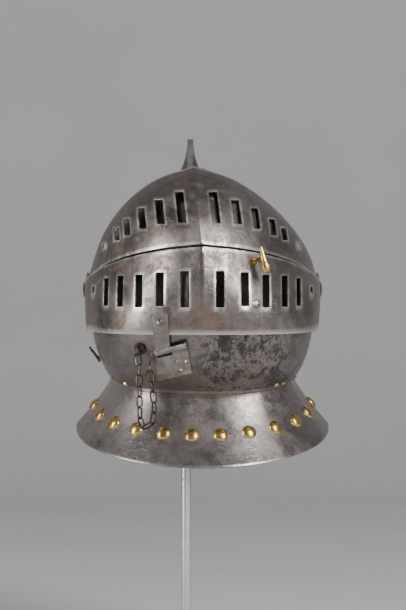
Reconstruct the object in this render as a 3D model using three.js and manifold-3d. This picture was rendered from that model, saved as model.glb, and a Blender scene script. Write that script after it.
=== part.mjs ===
// A close helmet of the armet kind on a plain rod stand, in millimetres, +Z up.
// The helmet faces -Y. The origin is the middle of the stand's underside.
// Plates are worked out from one bowl form: each lies at its own inset below it.

import * as THREE from 'three';
import { mergeVertices } from 'three/addons/utils/BufferGeometryUtils.js';
import Module from 'manifold-3d';

const wasm = await Module();
wasm.setup();

// Bowl form: half axes from the point midway between the two pivots
const BOWL_HALF_WIDTH = 111;
const BOWL_FRONT = 130;
const BOWL_BACK = 124;
const BOWL_RISE = 122;
const BOWL_DROP = 124;
const PROFILE_POWER = 2.1;
const CROWN_POWER = 1.74;
const CHIN_POWER = 2.6;
const KEEL_RISE = 3;
const KEEL_SPREAD = 0.13;
const VISOR_LEAN = 8;

// Sheet and fits
const PLATE = 1.8;
const LAYER_GAP = 1.0;
const CLEARANCE = 0.3;
const SHANK_CLEARANCE = 0.4;

// Insets of each plate's outer face below the bowl form
const VISOR_INSET = 0;
const VENTAIL_INSET = VISOR_INSET - PLATE - LAYER_GAP - 0.2;
const BEVOR_INSET = VISOR_INSET + PLATE + LAYER_GAP;
const FRONT_COLLAR_INSET = BEVOR_INSET + PLATE + LAYER_GAP / 2;
const SKULL_INSET = FRONT_COLLAR_INSET + PLATE + LAYER_GAP / 2;
const REAR_COLLAR_INSET = SKULL_INSET + PLATE + LAYER_GAP / 2;

// Heights above the floor
const BASE_THICKNESS = 12;
const ROD_LENGTH_BELOW_GORGET = 185;
const GORGET_POINT_DROP = 165;
const PIVOT_HEIGHT = BASE_THICKNESS + ROD_LENGTH_BELOW_GORGET + GORGET_POINT_DROP;

// Plate outlines in the side view, from the pivot
const EAR_RADIUS = 17;
const SEAM_RISE = 41;
const SEAM_BOW = 5;
const SEAM_GAP = 3.6;
const SEAM_SIDE_RISE = 6;
const VISOR_TOP_ANGLE = 66;
const VENTAIL_DROP = 43;
const VENTAIL_SIDE_DROP = 38;
const BEVOR_TOP_DROP = 30;
const BROW_RISE = 47;
const NECK_SIDE_DROP = 85;
const NECK_DIP = 15;
const NECK_HALF_DEPTH = 90;
const SKULL_SIDE_FRONT = 32;
const BEVOR_SIDE_BACK = 10;

// Slots
const SLOT_WIDTH = 8;
const SLOT_LENGTH = 33;
const SLOT_DEPTH = 26;

// Comb
const COMB_RISE = 44;
const COMB_HALF_WIDTH = 14;
const COMB_WALL = 1.8;
const COMB_START_ANGLE = 99;
const COMB_PEAK_ANGLE = 107;
const COMB_END_ANGLE = 205;
const COMB_OFFSET = -12;

// Gorget
const GORGET_HALF_WIDTH = 121;
const GORGET_FRONT = 112;
const GORGET_BACK = 112;
const RIM_SIDE_DROP = 131;
const RIM_BACK_DROP = 138;
const COLLAR_HEIGHT = 8;
const REAR_LAP = 1.0;
const FLARE_POWER = 1.2;
const FRONT_PLATE_SPAN = 99;
const REAR_PLATE_START = 92;
const STUD_COUNT = 22;
const STUD_FIRST_ANGLE = -6;
const STUD_RADIUS = 7.6;
const STUD_RISE = 4.6;
const STUD_RIM_SHARE = 0.56;
const STUD_SHANK_RADIUS = 2;
const LINING_RIVET_STEP = 26;
const LINING_RIVET_RADIUS = 2.6;
const LINING_RIM_SHARE = 0.82;

// Pivots, screw and neck rivets
const BOLT_HEAD_RADIUS = 8;
const BOLT_HEAD_RISE = 1.8;
const BOLT_SHANK_RADIUS = 3.2;
const SCREW_RADIUS = 4.2;
const SCREW_SHANK_RADIUS = 1.6;
const SCREW_ACROSS = 49;
const SCREW_RISE = -14;
const NECK_RIVET_RADIUS = 2.6;
const NECK_RIVET_RISE = 7;

// Catch
const CATCH_ACROSS = 47;
const CATCH_RISE = 25;
const CATCH_STANDOFF = 12;
const CATCH_POST_RADIUS = 2;
const CATCH_HUB_RADIUS = 3.6;
const CATCH_LENGTH = 26;
const CATCH_BULB_RADIUS = 4.8;
const CATCH_TILT = 10;

// Hasp, pin and chain
const HASP_WIDTH = 15;
const HASP_THICKNESS = 1.8;
const BARREL_RADIUS = 3.2;
const BARREL_BORE = 1.5;
const PIN_RADIUS = 1.1;
const LINK_LENGTH = 12.5;
const LINK_WIDTH = 7.5;
const LINK_WIRE = 1.7;
const LINK_BITE = 0.7;
const ROUTE_SAMPLES = 1200;
const LINK_TWIST = 0.7;
const LOOP_RADIUS = 4.1;
const LOOP_WIRE = 0.9;

// Stand
const BASE_SIDE = 200;
const BASE_CHAMFER = 3;
const ROD_RADIUS = 5;
const ROD_ACROSS = -16;
const ROD_BACK = 20;
const REST_RADIUS = 34;
const REST_THICKNESS = 14;
const SOCKET_DEPTH = 8;

const STEEL = { color: 0x8d857d, roughness: 0.38, metalness: 1 };
const BRASS = { color: 0xc9a24a, roughness: 0.3, metalness: 1 };
const CHROME = { color: 0xd8dade, roughness: 0.12, metalness: 1 };
const IRON = { color: 0x4a4541, roughness: 0.5, metalness: 1 };
const BLACK_STEEL = { color: 0x202022, roughness: 0.5, metalness: 0.6 };

const radians = THREE.MathUtils.degToRad;
const smooth = THREE.MathUtils.smoothstep;
const power = (value, exponent) => Math.pow(Math.abs(value), exponent);
const vector = (x, y, z) => new THREE.Vector3(x, y, z);

// Distance from the pivot point to the bowl form along a direction
function bowlRadius(way) {
  const depth = way.y < 0 ? BOWL_FRONT : BOWL_BACK;
  const height = way.z > 0 ? BOWL_RISE : BOWL_DROP;
  const profile = power(
    power(way.y / depth, PROFILE_POWER) + power(way.z / height, PROFILE_POWER),
    1 / PROFILE_POWER,
  );
  const sharpness = CHIN_POWER + (CROWN_POWER - CHIN_POWER) * smooth(way.z, -0.4, 0.2);
  const sum = power(way.x / BOWL_HALF_WIDTH, sharpness) + power(profile, sharpness);
  const keel = Math.max(0, 1 - Math.abs(way.x) / KEEL_SPREAD);
  return power(sum, -1 / sharpness) + KEEL_RISE * keel * keel * smooth(way.z, -0.5, 0.3);
}

// How far a point lies outside the bowl form at an inset, as a ratio
function bowlRatio(point, inset) {
  const reach = point.length();
  return reach / (bowlRadius(point.clone().divideScalar(reach)) - inset);
}

// Walks from near to far along a line until it meets the bowl at an inset
function meetBowl(pointAt, far, inset) {
  let near = 0;
  for (let step = 0; step < 40; step += 1) {
    const middle = (near + far) / 2;
    if (bowlRatio(pointAt(middle), inset) < 1) near = middle;
    else far = middle;
  }
  return pointAt(near);
}

const facePoint = (across, rise, inset) =>
  meetBowl((depth) => vector(across, -depth - 1, rise), 2 * BOWL_FRONT, inset);

const ringPoint = (azimuth, rise, inset) =>
  meetBowl(
    (reach) => vector(reach * Math.sin(azimuth), -reach * Math.cos(azimuth), rise),
    2 * BOWL_FRONT,
    inset,
  );

// Outward normal of the bowl at a point on it
function bowlNormal(point, inset) {
  const step = 0.5;
  const slope = (shift) =>
    bowlRatio(point.clone().add(shift), inset) - bowlRatio(point.clone().sub(shift), inset);
  return vector(
    slope(vector(step, 0, 0)),
    slope(vector(0, step, 0)),
    slope(vector(0, 0, step)),
  ).normalize();
}

// Frame at a point: local Z along the normal, local Y as near to up as it can be
function seatFrame(point, normal, up = vector(0, 0, 1)) {
  const side = up.clone().cross(normal).normalize();
  const rise = normal.clone().cross(side);
  return new THREE.Matrix4().makeBasis(side, rise, normal).setPosition(point);
}

function solidFrom(geometry) {
  const bare = geometry.clone();
  bare.deleteAttribute('normal');
  bare.deleteAttribute('uv');
  const merged = mergeVertices(bare, 1e-4);
  return new wasm.Manifold(new wasm.Mesh({
    numProp: 3,
    vertProperties: new Float32Array(merged.attributes.position.array),
    triVerts: new Uint32Array(merged.index.array),
  }));
}

function geometryFrom(solid) {
  const mesh = solid.getMesh();
  const geometry = new THREE.BufferGeometry();
  geometry.setAttribute('position', new THREE.BufferAttribute(mesh.vertProperties, 3));
  geometry.setIndex(new THREE.BufferAttribute(mesh.triVerts, 1));
  return geometry;
}

// A box of segments whose corners in 0..1 are sent through a mapping
function mappedBlock(columns, rows, layers, place) {
  const block = new THREE.BoxGeometry(1, 1, 1, columns, rows, layers);
  const spots = block.attributes.position;
  const spot = vector(0, 0, 0);
  for (let index = 0; index < spots.count; index += 1) {
    spot.fromBufferAttribute(spots, index).addScalar(0.5);
    const placed = place(spot.x, spot.y, spot.z);
    spots.setXYZ(index, placed.x, placed.y, placed.z);
  }
  return block;
}

// The whole bowl form at an inset, as one closed solid with its poles at the pivots
function bowlSolid(inset, columns = 28, rows = 14) {
  const ball = new THREE.SphereGeometry(1, columns, rows).rotateZ(-Math.PI / 2);
  const spots = ball.attributes.position;
  const way = vector(0, 0, 0);
  for (let index = 0; index < spots.count; index += 1) {
    way.fromBufferAttribute(spots, index).normalize();
    way.multiplyScalar(bowlRadius(way) - inset);
    spots.setXYZ(index, way.x, way.y, way.z);
  }
  return solidFrom(ball);
}

// A side-view outline of [y, z] pairs or a shape, carried right across the helmet
function sideCutter(outline) {
  const span = 3 * BOWL_HALF_WIDTH;
  const geometry = new THREE.ExtrudeGeometry(outline, {
    depth: span, bevelEnabled: false, curveSegments: 6,
  });
  geometry.translate(0, 0, -span / 2);
  geometry.applyMatrix4(new THREE.Matrix4().makeBasis(
    vector(0, 1, 0), vector(0, 0, 1), vector(1, 0, 0),
  ));
  return solidFrom(geometry);
}

function earDisc(radius) {
  const disc = new THREE.Shape();
  disc.absarc(0, 0, radius, 0, 2 * Math.PI);
  return sideCutter(disc);
}

const plateBetween = (inset) => bowlSolid(inset).subtract(bowlSolid(inset + PLATE));

function boltHole(solid) {
  const bore = new THREE.CylinderGeometry(
    BOLT_SHANK_RADIUS + SHANK_CLEARANCE, BOLT_SHANK_RADIUS + SHANK_CLEARANCE,
    3 * BOWL_HALF_WIDTH, 12,
  ).rotateZ(Math.PI / 2);
  return solid.subtract(solidFrom(bore));
}

// The seam between visor and ventail in the side view, lowered by a gap
function seamCurve(outline, gap) {
  const reach = BOWL_FRONT + 20;
  outline.quadraticCurveTo(
    -reach * 0.55, SEAM_SIDE_RISE + (SEAM_RISE - SEAM_SIDE_RISE) * 0.55 + SEAM_BOW - gap,
    -reach, SEAM_RISE + (SEAM_RISE - SEAM_SIDE_RISE) * 0.15 - gap,
  );
}

// Slot rows: each side's slots from the middle outwards, as shares of the bowl
const VISOR_SLOTS = [
  { across: 0.141, low: 0.495, high: 0.742 },
  { across: 0.320, low: 0.489, high: 0.679 },
  { across: 0.478, low: 0.456, high: 0.620 },
  { across: 0.617, low: 0.409, high: 0.539 },
  { across: 0.712, low: 0.375, high: 0.473 },
  { across: 0.832, low: 0.316, high: 0.358 },
];
const VENTAIL_SLOTS = [
  { across: 0.145, low: -0.52, high: 0.48 },
  { across: 0.350, low: -0.49, high: 0.45 },
  { across: 0.526, low: -0.52, high: 0.39 },
  { across: 0.686, low: -0.50, high: 0.37 },
  { across: 0.810, low: -0.47, high: 0.31 },
  { across: 0.930, low: -0.12, high: 0.08 },
];

// A slot's cutter stands square to the plate, from its low end to its high end
function slotCutter(low, high, inset) {
  const along = high.clone().sub(low);
  const middle = high.clone().add(low).divideScalar(2);
  const normal = bowlNormal(middle, inset);
  const side = along.clone().cross(normal).normalize();
  const out = side.clone().cross(along).normalize();
  const box = new THREE.BoxGeometry(SLOT_WIDTH, along.length(), SLOT_DEPTH);
  box.applyMatrix4(new THREE.Matrix4()
    .makeBasis(side, along.normalize(), out).setPosition(middle));
  return solidFrom(box);
}

function cutSlots(solid, rows, inset, unit) {
  for (const row of rows) {
    for (const side of [-1, 1]) {
      const across = side * row.across * BOWL_HALF_WIDTH;
      solid = solid.subtract(slotCutter(
        facePoint(across, row.low * unit, inset),
        facePoint(across, row.high * unit, inset),
        inset,
      ));
    }
  }
  return solid;
}

// The visor leans a little to its right above the seam, as the old plate does
function leanVisor(geometry) {
  const spots = geometry.attributes.position;
  for (let index = 0; index < spots.count; index += 1) {
    const share = smooth(spots.getZ(index), SEAM_RISE / 2, BOWL_RISE);
    spots.setX(index, spots.getX(index) - VISOR_LEAN * share);
  }
  return geometry;
}

function visorGeometry() {
  const top = radians(VISOR_TOP_ANGLE);
  const reach = 1.6 * BOWL_FRONT;
  const outline = new THREE.Shape();
  outline.moveTo(EAR_RADIUS * 0.3, SEAM_SIDE_RISE);
  seamCurve(outline, 0);
  outline.lineTo(-reach, reach);
  outline.lineTo(-reach * Math.cos(top), reach * Math.sin(top));
  outline.lineTo(EAR_RADIUS * 0.5, EAR_RADIUS * 0.8);
  let solid = plateBetween(VISOR_INSET).intersect(sideCutter(outline).add(earDisc(EAR_RADIUS)));
  solid = cutSlots(solid, VISOR_SLOTS, VISOR_INSET, BOWL_RISE);
  return leanVisor(geometryFrom(boltHole(solid)));
}

function screwSeat() {
  const foot = facePoint(SCREW_ACROSS, SCREW_RISE, VENTAIL_INSET);
  const normal = bowlNormal(foot, VENTAIL_INSET);
  return seatFrame(foot.addScaledVector(normal, CLEARANCE), normal);
}

function ventailGeometry() {
  const reach = BOWL_FRONT + 20;
  const outline = new THREE.Shape();
  outline.moveTo(0, SEAM_SIDE_RISE - LAYER_GAP);
  seamCurve(outline, SEAM_GAP);
  outline.lineTo(-reach, -VENTAIL_DROP);
  outline.lineTo(EAR_RADIUS, -VENTAIL_SIDE_DROP);
  outline.lineTo(EAR_RADIUS, 0);
  const shape = sideCutter(outline).add(earDisc(EAR_RADIUS));
  let solid = plateBetween(VENTAIL_INSET).intersect(shape);
  solid = cutSlots(solid, VENTAIL_SLOTS, VENTAIL_INSET, SLOT_LENGTH);
  const bore = new THREE.CylinderGeometry(
    SCREW_SHANK_RADIUS + SHANK_CLEARANCE, SCREW_SHANK_RADIUS + SHANK_CLEARANCE, 12, 8,
  ).rotateX(Math.PI / 2).applyMatrix4(screwSeat());
  solid = solid.subtract(solidFrom(bore));
  return geometryFrom(boltHole(solid));
}

const neckDrop = (depth) => NECK_SIDE_DROP + NECK_DIP * Math.max(depth, 0) / NECK_HALF_DEPTH;

function bevorOutline(gap) {
  const reach = BOWL_FRONT + 20;
  const outline = new THREE.Shape();
  outline.moveTo(BEVOR_SIDE_BACK + gap, 0);
  outline.lineTo(-EAR_RADIUS, 0);
  outline.lineTo(-1.6 * EAR_RADIUS, -BEVOR_TOP_DROP);
  outline.lineTo(-reach, -BEVOR_TOP_DROP);
  outline.lineTo(-reach, 1 - neckDrop(reach) - gap);
  outline.lineTo(0, 1 - neckDrop(0) - gap);
  outline.lineTo(BEVOR_SIDE_BACK + gap, 1 - neckDrop(0) - gap);
  return outline;
}

function bevorGeometry() {
  const shape = sideCutter(bevorOutline(0)).add(earDisc(0.9 * EAR_RADIUS));
  return geometryFrom(boreNeck(boltHole(plateBetween(BEVOR_INSET).intersect(shape))));
}

// The comb's height over the skull: a steep front, then a long fall to the nape
function combShare(angle) {
  if (angle < COMB_PEAK_ANGLE) {
    return smooth(angle, COMB_START_ANGLE, COMB_PEAK_ANGLE);
  }
  const fall = (angle - COMB_PEAK_ANGLE) / (COMB_END_ANGLE - COMB_PEAK_ANGLE);
  return Math.pow(Math.max(0, 1 - fall), 1.25);
}

// Half width of the comb at a share of its height, wide at its foot
const combHalfWidth = (share) => 0.26 + 0.74 * Math.pow(1 - share, 2.2);

function combSolid(wall) {
  const foot = SKULL_INSET + PLATE / 2;
  const start = COMB_START_ANGLE + 0.5 + wall;
  const spread = COMB_END_ANGLE - 0.5 - 2 * wall - start;
  return solidFrom(mappedBlock(10, 2, 2, (along, up, side) => {
    const degrees = start + spread * along * (0.4 + 0.6 * along);
    const angle = radians(degrees);
    const way = vector(0, -Math.cos(angle), Math.sin(angle));
    const tip = Math.max(COMB_RISE * combShare(degrees) - wall, 0.5);
    const rise = tip * up * (1 - 0.06 * (2 * side - 1) ** 2 * up);
    const width = COMB_HALF_WIDTH * combHalfWidth(up) * (1 - 0.35 * up * (2 * side - 1) ** 4);
    const reach = bowlRadius(way) - KEEL_RISE - foot + rise;
    const point = way.multiplyScalar(reach);
    point.x = COMB_OFFSET + (2 * side - 1) * Math.max(width - wall, 1);
    return point;
  }));
}

function skullOutline(gap) {
  const back = BOWL_BACK + 40;
  const outline = new THREE.Shape();
  outline.moveTo(-back, BROW_RISE);
  outline.lineTo(-0.55 * BOWL_FRONT, BROW_RISE);
  outline.quadraticCurveTo(-SKULL_SIDE_FRONT, BROW_RISE, -SKULL_SIDE_FRONT, 0);
  outline.lineTo(-SKULL_SIDE_FRONT - gap, -neckDrop(0) - gap);
  outline.lineTo(back, -neckDrop(0) - gap);
  outline.lineTo(back, 2 * BOWL_RISE);
  outline.lineTo(-back, 2 * BOWL_RISE);
  return outline;
}

function skullGeometry() {
  const solid = bowlSolid(SKULL_INSET).add(combSolid(0))
    .subtract(bowlSolid(SKULL_INSET + PLATE).add(combSolid(COMB_WALL)))
    .intersect(sideCutter(skullOutline(0)));
  return geometryFrom(boreNeck(boltHole(solid)));
}

// Height of the gorget's rim below the pivot at an azimuth
function rimDrop(azimuth) {
  const ahead = Math.cos(azimuth);
  if (ahead > 0) return RIM_SIDE_DROP + (GORGET_POINT_DROP - RIM_SIDE_DROP) * power(ahead, 0.8);
  return RIM_SIDE_DROP + (RIM_BACK_DROP - RIM_SIDE_DROP) * ahead * ahead;
}

function rimReach(azimuth) {
  const depth = Math.cos(azimuth) > 0 ? GORGET_FRONT : GORGET_BACK;
  return 1 / Math.hypot(Math.sin(azimuth) / GORGET_HALF_WIDTH, Math.cos(azimuth) / depth);
}

// Outer face of a gorget plate: share below 0 is the collar, 0 the neck, 1 the rim
function gorgetPoint(azimuth, share, inset) {
  const waist = neckDrop(NECK_HALF_DEPTH * Math.cos(azimuth));
  if (share < 0) return ringPoint(azimuth, -waist - share * COLLAR_HEIGHT, inset);
  const neck = ringPoint(azimuth, -waist, inset);
  const start = Math.hypot(neck.x, neck.y);
  const end = rimReach(azimuth) - (inset - FRONT_COLLAR_INSET) * REAR_LAP;
  const reach = start + (end - start) * Math.pow(share, FLARE_POWER);
  const drop = waist + (rimDrop(azimuth) - waist) * share;
  return vector(reach * Math.sin(azimuth), -reach * Math.cos(azimuth), -drop);
}

function gorgetNormal(azimuth, share, inset) {
  const step = 0.02;
  const round = gorgetPoint(azimuth + step, share, inset)
    .sub(gorgetPoint(azimuth - step, share, inset));
  const down = gorgetPoint(azimuth, Math.min(share + step, 1), inset)
    .sub(gorgetPoint(azimuth, share - step, inset));
  return down.cross(round).normalize();
}

// Stations down a gorget plate: the collar's top, the neck and the flare
const GORGET_STATIONS = [-1, 0, 0.3, 0.65, 1];

function gorgetSolid(from, to, inset) {
  const rows = GORGET_STATIONS.length - 1;
  const columns = Math.round((to - from) / 11);
  return solidFrom(mappedBlock(columns, rows, 1, (along, up, out) => {
    const azimuth = radians(from + (to - from) * along);
    const share = GORGET_STATIONS[Math.round((1 - up) * rows)];
    const point = gorgetPoint(azimuth, share, inset);
    const normal = gorgetNormal(azimuth, Math.max(share, -0.9), inset);
    return point.addScaledVector(normal, -PLATE * (1 - out));
  }));
}

// Domed head and shank on local Z, with the head's foot at z = 0
function domeGeometry(radius, rise, shankRadius, shankLength, sides = 8) {
  const profile = [new THREE.Vector2(0, -shankLength)];
  profile.push(new THREE.Vector2(shankRadius, -shankLength));
  profile.push(new THREE.Vector2(shankRadius, 0));
  const rings = 2;
  for (let ring = 0; ring < rings; ring += 1) {
    const angle = (ring / rings) * (Math.PI / 2);
    profile.push(new THREE.Vector2(radius * Math.cos(angle), rise * Math.sin(angle)));
  }
  profile.push(new THREE.Vector2(0, rise));
  return new THREE.LatheGeometry(profile, sides).rotateX(Math.PI / 2);
}

const studAngle = (index) => STUD_FIRST_ANGLE + (360 / STUD_COUNT) * index;
const fromFront = (degrees) => Math.abs(((degrees + 180) % 360) - 180);
const onFrontPlate = (degrees) => fromFront(degrees) < FRONT_PLATE_SPAN;
const headSpan = THREE.MathUtils.radToDeg(STUD_RADIUS / GORGET_HALF_WIDTH);

function gorgetSeat(degrees, share, lift, onFront = onFrontPlate(degrees)) {
  const inset = onFront ? FRONT_COLLAR_INSET : REAR_COLLAR_INSET;
  const azimuth = radians(degrees);
  const normal = gorgetNormal(azimuth, share, inset);
  return seatFrame(
    gorgetPoint(azimuth, share, inset).addScaledVector(normal, lift), normal,
  );
}

// Room for the plate that a collar slides under
function coverRoom(inset, outline) {
  return bowlSolid(inset - PLATE).subtract(bowlSolid(inset + PLATE + CLEARANCE))
    .intersect(sideCutter(outline));
}

// A stud whose head reaches over the front plate's edge is seated on that plate
const studSeat = (degrees) => gorgetSeat(
  degrees, STUD_RIM_SHARE, CLEARANCE + 0.2, fromFront(degrees) < FRONT_PLATE_SPAN + headSpan,
);

// A gorget plate with its lining rivets peened on and holes for the studs and rivets
function gorgetGeometry(from, to, inset, holds, cover) {
  let solid = gorgetSolid(from, to, inset).subtract(cover);
  for (let degrees = -180 + LINING_RIVET_STEP; degrees < 180; degrees += LINING_RIVET_STEP) {
    if (holds(degrees + 1)) {
      const rivet = domeGeometry(
        LINING_RIVET_RADIUS, LINING_RIVET_RADIUS * 0.7, 1, PLATE / 2, 6,
      ).applyMatrix4(gorgetSeat(degrees + 1, LINING_RIM_SHARE, -0.1));
      solid = solid.add(solidFrom(rivet));
    }
  }
  for (let index = 0; index < STUD_COUNT; index += 1) {
    const bore = new THREE.CylinderGeometry(
      STUD_SHANK_RADIUS + SHANK_CLEARANCE, STUD_SHANK_RADIUS + SHANK_CLEARANCE, 16, 6,
    ).rotateX(Math.PI / 2).applyMatrix4(studSeat(studAngle(index)));
    solid = solid.subtract(solidFrom(bore));
  }
  return geometryFrom(boreNeck(solid));
}

// Rivets that hold the bevor and skull on the gorget's collars
const NECK_RIVETS = [
  { name: 'neck_rivet_right_a', azimuth: 49, plate: 'bevor', brass: true },
  { name: 'neck_rivet_right_b', azimuth: 56, plate: 'bevor', brass: true },
  { name: 'neck_rivet_right_c', azimuth: 74, plate: 'bevor', brass: false },
  { name: 'neck_rivet_left_a', azimuth: -52, plate: 'bevor', brass: true },
  { name: 'neck_rivet_left_b', azimuth: -70, plate: 'bevor', brass: false },
  { name: 'neck_rivet_back_a', azimuth: 150, plate: 'skull', brass: false },
  { name: 'neck_rivet_back_b', azimuth: -150, plate: 'skull', brass: false },
];

function neckRivetSeat(rivet) {
  const inset = rivet.plate === 'bevor' ? BEVOR_INSET : SKULL_INSET;
  const azimuth = radians(rivet.azimuth);
  const drop = neckDrop(NECK_HALF_DEPTH * Math.cos(azimuth));
  const point = ringPoint(azimuth, NECK_RIVET_RISE * 0.7 - drop, inset);
  const normal = bowlNormal(point, inset);
  return seatFrame(point.addScaledVector(normal, CLEARANCE), normal);
}

const neckRivetBore = (rivet) => new THREE.CylinderGeometry(
  1.2 + SHANK_CLEARANCE, 1.2 + SHANK_CLEARANCE, 20, 6,
).rotateX(Math.PI / 2).applyMatrix4(neckRivetSeat(rivet));

function boreNeck(solid) {
  return NECK_RIVETS.reduce(
    (bored, rivet) => bored.subtract(solidFrom(neckRivetBore(rivet))), solid,
  );
}

const tubeAlong = (points, radius, sides, steps) => {
  const circle = new THREE.Shape();
  for (let side = 0; side < sides; side += 1) {
    const angle = (side / sides) * 2 * Math.PI;
    const spot = [radius * Math.cos(angle), radius * Math.sin(angle)];
    if (side === 0) circle.moveTo(...spot);
    else circle.lineTo(...spot);
  }
  circle.closePath();
  return new THREE.ExtrudeGeometry(circle, {
    steps, bevelEnabled: false, extrudePath: new THREE.CatmullRomCurve3(points),
  });
};

function joined(geometries) {
  return geometries.map(solidFrom).reduce((whole, solid) => whole.add(solid));
}

const cylinderOnZ = (radius, low, high, sides) => new THREE.CylinderGeometry(
  radius, radius, high - low, sides,
).rotateX(Math.PI / 2).translate(0, 0, (high + low) / 2);

// Catch: a post square to the ventail, and a drop-shaped lever that turns on its end
const catchFoot = facePoint(CATCH_ACROSS, CATCH_RISE, VENTAIL_INSET);
const catchNormal = bowlNormal(catchFoot, VENTAIL_INSET);
const catchSeat = seatFrame(catchFoot, catchNormal);

function catchPostGeometry() {
  const collar = cylinderOnZ(1.7 * CATCH_POST_RADIUS, CLEARANCE, 1.5, 10);
  const post = cylinderOnZ(CATCH_POST_RADIUS, 1, CATCH_STANDOFF, 10);
  return geometryFrom(joined([collar, post])).applyMatrix4(catchSeat);
}

function catchLeverGeometry() {
  const drop = [
    [0, CATCH_LENGTH * 0.42], [1.6, CATCH_LENGTH * 0.38], [1.9, CATCH_LENGTH * 0.15],
    [2.6, -CATCH_LENGTH * 0.12], [CATCH_BULB_RADIUS, -CATCH_LENGTH * 0.36],
    [CATCH_BULB_RADIUS * 0.8, -CATCH_LENGTH * 0.5], [0, -CATCH_LENGTH * 0.58],
  ].reverse().map(([across, along]) => new THREE.Vector2(across, along));
  const bulb = new THREE.LatheGeometry(drop, 12).translate(0, 0, CATCH_STANDOFF + CATCH_HUB_RADIUS);
  bulb.rotateZ(radians(CATCH_TILT));
  const hub = cylinderOnZ(
    CATCH_HUB_RADIUS, CATCH_STANDOFF - 3, CATCH_STANDOFF + CATCH_HUB_RADIUS, 12,
  );
  const bore = cylinderOnZ(
    CATCH_POST_RADIUS + CLEARANCE, 0, CATCH_STANDOFF + CLEARANCE, 12,
  );
  return geometryFrom(joined([bulb, hub]).subtract(solidFrom(bore))).applyMatrix4(catchSeat);
}

// Hasp: a strap on the ventail, a rolled plate on the bevor and a pin through both
const HASP = {
  across: -39, top: -17, knuckleEnd: -57,
  plateAcross: -26, plateRise: -66, plateWidth: 38, plateHeight: 25, plateTurn: 14,
};

function haspFrame() {
  const left = facePoint(HASP.plateAcross - 17, -57, BEVOR_INSET);
  const right = facePoint(HASP.plateAcross + 13, -49, BEVOR_INSET);
  const along = right.clone().sub(left).normalize();
  const middle = left.clone().add(right).divideScalar(2);
  const normal = bowlNormal(middle, BEVOR_INSET);
  const out = normal.addScaledVector(along, -normal.dot(along)).normalize();
  const centre = middle.addScaledVector(out, BARREL_RADIUS + 2.2);
  const up = out.clone().cross(along).normalize();
  return new THREE.Matrix4().makeBasis(along, up, out).setPosition(centre);
}

const BARREL_HALF = 15.5;
const KNUCKLE_HALF = HASP_WIDTH / 2 - CLEARANCE;
const KNUCKLE_PLACE = KNUCKLE_HALF - BARREL_HALF;

// The bevor's plate: a barrel with a gap for the knuckle, and a leaf below it
function haspPlateGeometry() {
  const frame = haspFrame();
  const tube = new THREE.CylinderGeometry(BARREL_RADIUS, BARREL_RADIUS, 2 * BARREL_HALF, 12)
    .rotateZ(Math.PI / 2).applyMatrix4(frame);
  const bore = new THREE.CylinderGeometry(BARREL_BORE, BARREL_BORE, 3 * BARREL_HALF, 10)
    .rotateZ(Math.PI / 2).applyMatrix4(frame);
  const gap = new THREE.BoxGeometry(
    2 * (KNUCKLE_HALF + CLEARANCE), 4 * BARREL_RADIUS, 4 * BARREL_RADIUS,
  ).translate(KNUCKLE_PLACE, 0, 0).applyMatrix4(frame);
  const leafPoint = (across, up, out) => {
    const edge = vector(
      (across - 0.5) * 2 * BARREL_HALF, -BARREL_RADIUS * 0.4, BARREL_RADIUS * (out - 0.9),
    ).applyMatrix4(frame);
    const spread = 1 + 0.12 * (1 - up);
    const seat = facePoint(
      edge.x * spread + (1 - up) * 6, edge.z - (1 - up) * HASP.plateHeight,
      BEVOR_INSET - CLEARANCE - 0.2 - out * HASP_THICKNESS,
    );
    return edge.lerp(seat, 1 - Math.pow(up, 4));
  };
  const leaf = mappedBlock(4, 4, 1, leafPoint);
  const rivets = [[0.62, 0.5], [0.7, 0.18], [0.86, 0.42]].map(([across, up]) => {
    const foot = leafPoint(across, up, 0.9);
    return domeGeometry(2.4, 1.6, 1, 1, 8).applyMatrix4(
      seatFrame(foot, bowlNormal(foot, BEVOR_INSET)),
    );
  });
  return geometryFrom(joined([tube, leaf, ...rivets])
    .subtract(solidFrom(bore)).subtract(solidFrom(gap)));
}

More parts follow.
